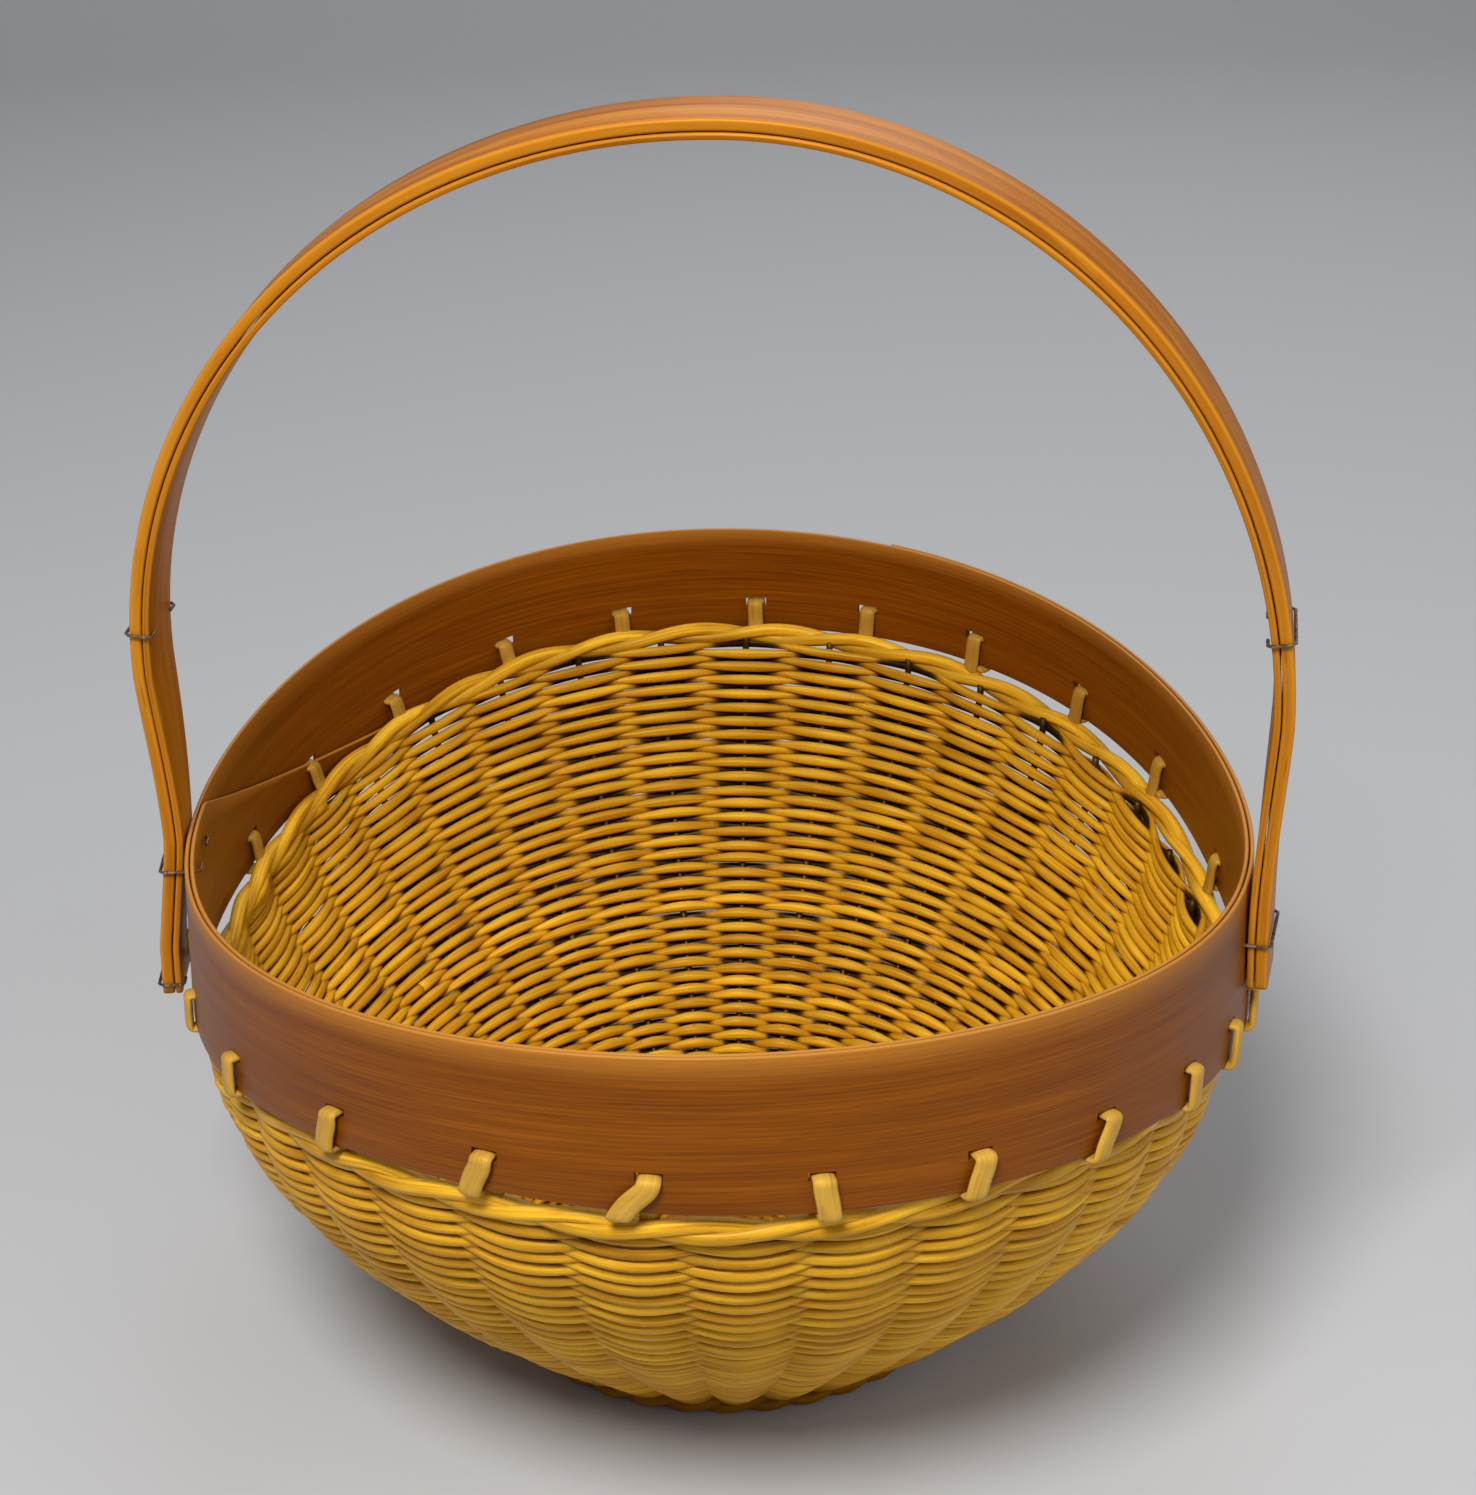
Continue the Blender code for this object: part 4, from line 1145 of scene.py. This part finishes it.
class BASKET_OT_hoop(bpy.types.Operator):
    """Builds the hoop's two laminations with eased edges."""

    bl_idname = "basket.hoop"
    bl_label = "Bend the hoop"

    def execute(self, context):
        sizes = context.scene.basket_handle
        bentwood = hoop_finish(sizes)
        points, facings, wides = handle_track(sizes.arc_steps, sizes.leg_steps)
        plies = (
            ("hoop_outer_lamination", "handle_outer_ply", 0.0, HANDLE_OUTER_PLY, 0.0),
            ("hoop_inner_lamination", "handle_inner_ply", HANDLE_OUTER_PLY + TOUCH, HANDLE_INNER_PLY, 5.0),
        )
        for name, node, depth, thick, shift in plies:
            radius = min(sizes.edge_round, thick * 0.45)
            u, v = oblong_section(thick / 2, HANDLE_WIDTH / 2, radius, 5)
            middle = points - facings * (depth + thick / 2)
            ones = np.ones((len(points), 1))
            pile = Pile()
            swept = tube(middle, facings, wides, ones * u, ones * v)
            edge = np.abs(v) > HANDLE_WIDTH / 2 - radius * 0.75
            rounded = edge & (np.abs(u) > thick / 2 - radius * 0.85) & (np.abs(u) < thick / 2 - radius * 0.05)
            tone = np.where(rounded, 0.45, 0.0)
            pile.add(swept, np.tile(tone, len(points)), grain_shift=shift)
            piece = pile.build(name, bentwood)
            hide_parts(node)
        return {"FINISHED"}


class BASKET_OT_wires(bpy.types.Operator):
    """Gives the CAD staples and clips their dull wire finish."""

    bl_idname = "basket.wires"
    bl_label = "Finish the wires"

    def execute(self, context):
        finish = Finish("dull_wire")
        place = finish.node("ShaderNodeTexCoord", output="Object")
        mottle = finish.node("ShaderNodeTexNoise", {}, {"Vector": place, "Scale": 900.0, "Detail": 3.0})
        body = finish.ramp(mottle, ((0.35, (0.10, 0.065, 0.035)), (0.70, (0.34, 0.26, 0.17))))
        finish.surface(Base_Color=body, Metallic=1.0, Roughness=mottle * 0.3 + 0.35)
        names = [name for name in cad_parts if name.startswith(("staple", "clip"))]
        if not names:
            raise RuntimeError("the frame has no wires")
        for name in names:
            wire = bpy.data.objects[name]
            for slot in wire.material_slots:
                slot.material = finish.material
        return {"FINISHED"}


class BASKET_OT_stage(bpy.types.Operator):
    """Builds the floor, the lamps and the camera."""

    bl_idname = "basket.stage"
    bl_label = "Set the stage"

    def execute(self, context):
        sizes = context.scene.basket_stage
        self.build_floor(sizes)
        self.add_lamp("key_lamp", (-0.30, -1.05, 1.50), 0.6, sizes.key, (1.0, 0.98, 0.95))
        self.add_lamp("fill_lamp", (1.3, -0.7, 0.9), 1.2, sizes.fill, (0.96, 0.98, 1.0))
        self.add_lamp("back_lamp", (0.3, 1.2, 1.3), 1.2, sizes.fill * 0.9, (1.0, 1.0, 1.0))
        self.light_world(sizes)
        self.add_camera(sizes)
        return {"FINISHED"}

    def build_floor(self, sizes):
        """A floor that curves up into a backdrop far behind the basket."""
        profile = [(-3.0, 0.0), (1.6, 0.0)]
        bend = 0.8
        for i in range(1, 13):
            turn = math.pi / 2 * i / 12
            profile.append((1.6 + bend * math.sin(turn), bend - bend * math.cos(turn)))
        profile.append((2.4, 4.0))
        bm = bmesh.new()
        rows = [[bm.verts.new((x, y, z)) for x in np.linspace(-4, 4, 9)] for y, z in profile]
        for near, far in zip(rows, rows[1:]):
            for k in range(8):
                bm.faces.new((near[k], near[k + 1], far[k + 1], far[k]))
        mesh = bpy.data.meshes.new("studio_floor")
        bm.to_mesh(mesh)
        bm.free()
        floor = bpy.data.objects.new("studio_floor", mesh)
        bpy.context.scene.collection.objects.link(floor)
        mesh.materials.append(stage_finish(sizes.floor))
        mesh.shade_smooth()

    def add_lamp(self, name, place, size, power, tint):
        data = bpy.data.lights.new(name, "AREA")
        data.shape = "DISK"
        data.size = size
        data.energy = power
        data.color = tint
        lamp = bpy.data.objects.new(name, data)
        lamp.location = place
        aim = Vector((0, 0, 0.12)) - Vector(place)
        lamp.rotation_euler = aim.to_track_quat("-Z", "Y").to_euler()
        bpy.context.scene.collection.objects.link(lamp)

    def light_world(self, sizes):
        world = bpy.data.worlds.new("even_sky")
        world.use_nodes = True
        background = world.node_tree.nodes["Background"]
        background.inputs["Color"].default_value = (1.0, 1.0, 1.0, 1)
        background.inputs["Strength"].default_value = sizes.sky
        bpy.context.scene.world = world

    def add_camera(self, sizes):
        pitch, yaw, roll = sizes.pitch, sizes.yaw, sizes.roll
        forward = Vector((math.sin(yaw) * math.cos(pitch), math.cos(yaw) * math.cos(pitch), -math.sin(pitch)))
        right = Vector((math.cos(yaw), -math.sin(yaw), 0))
        up = right.cross(forward)
        turned_right = right * math.cos(roll) + up * math.sin(roll)
        turned_up = up * math.cos(roll) - right * math.sin(roll)
        data = bpy.data.cameras.new("photo_camera")
        data.lens = sizes.lens
        data.sensor_width = 36
        data.clip_start = 0.01
        camera = bpy.data.objects.new("photo_camera", data)
        camera.matrix_world = Matrix((turned_right, turned_up, -forward)).transposed().to_4x4()
        camera.location = Vector(sizes.eye)
        bpy.context.scene.collection.objects.link(camera)
        bpy.context.scene.camera = camera
        bpy.context.scene.view_settings.view_transform = "Standard"


class BASKET_PT_panel(bpy.types.Panel):
    """Lists the basket's pieces in the sidebar."""

    bl_label = "Basket"
    bl_idname = "BASKET_PT_panel"
    bl_space_type = "VIEW_3D"
    bl_region_type = "UI"
    bl_category = "Basket"

    def draw(self, context):
        for operator in STEPS:
            self.layout.operator(operator.bl_idname)
        for name in GROUPS:
            box = self.layout.box()
            group = getattr(context.scene, name)
            for key in group.bl_rna.properties.keys():
                if key not in ("rna_type", "name"):
                    box.prop(group, key)


GROUPS = {
    "basket_weave": WeaveSizes,
    "basket_border": BorderSizes,
    "basket_base": BaseSizes,
    "basket_band": BandSizes,
    "basket_ties": TieSizes,
    "basket_handle": HandleSizes,
    "basket_stage": StageSizes,
}
STEPS = (
    BASKET_OT_stage,
    BASKET_OT_weave,
    BASKET_OT_border,
    BASKET_OT_base,
    BASKET_OT_band,
    BASKET_OT_ties,
    BASKET_OT_hoop,
    BASKET_OT_wires,
)


def register():
    for group in GROUPS.values():
        bpy.utils.register_class(group)
    for step in STEPS:
        bpy.utils.register_class(step)
    bpy.utils.register_class(BASKET_PT_panel)
    for name, group in GROUPS.items():
        setattr(bpy.types.Scene, name, bpy.props.PointerProperty(type=group))


def unregister():
    for name in GROUPS:
        delattr(bpy.types.Scene, name)
    bpy.utils.unregister_class(BASKET_PT_panel)
    for step in reversed(STEPS):
        bpy.utils.unregister_class(step)
    for group in reversed(list(GROUPS.values())):
        bpy.utils.unregister_class(group)


def main():
    register()
    bpy.ops.basket.stage()
    bpy.ops.basket.weave()
    bpy.ops.basket.border()
    bpy.ops.basket.base()
    bpy.ops.basket.band()
    bpy.ops.basket.ties()
    bpy.ops.basket.hoop()
    bpy.ops.basket.wires()


if __name__ == "__main__":
    main()
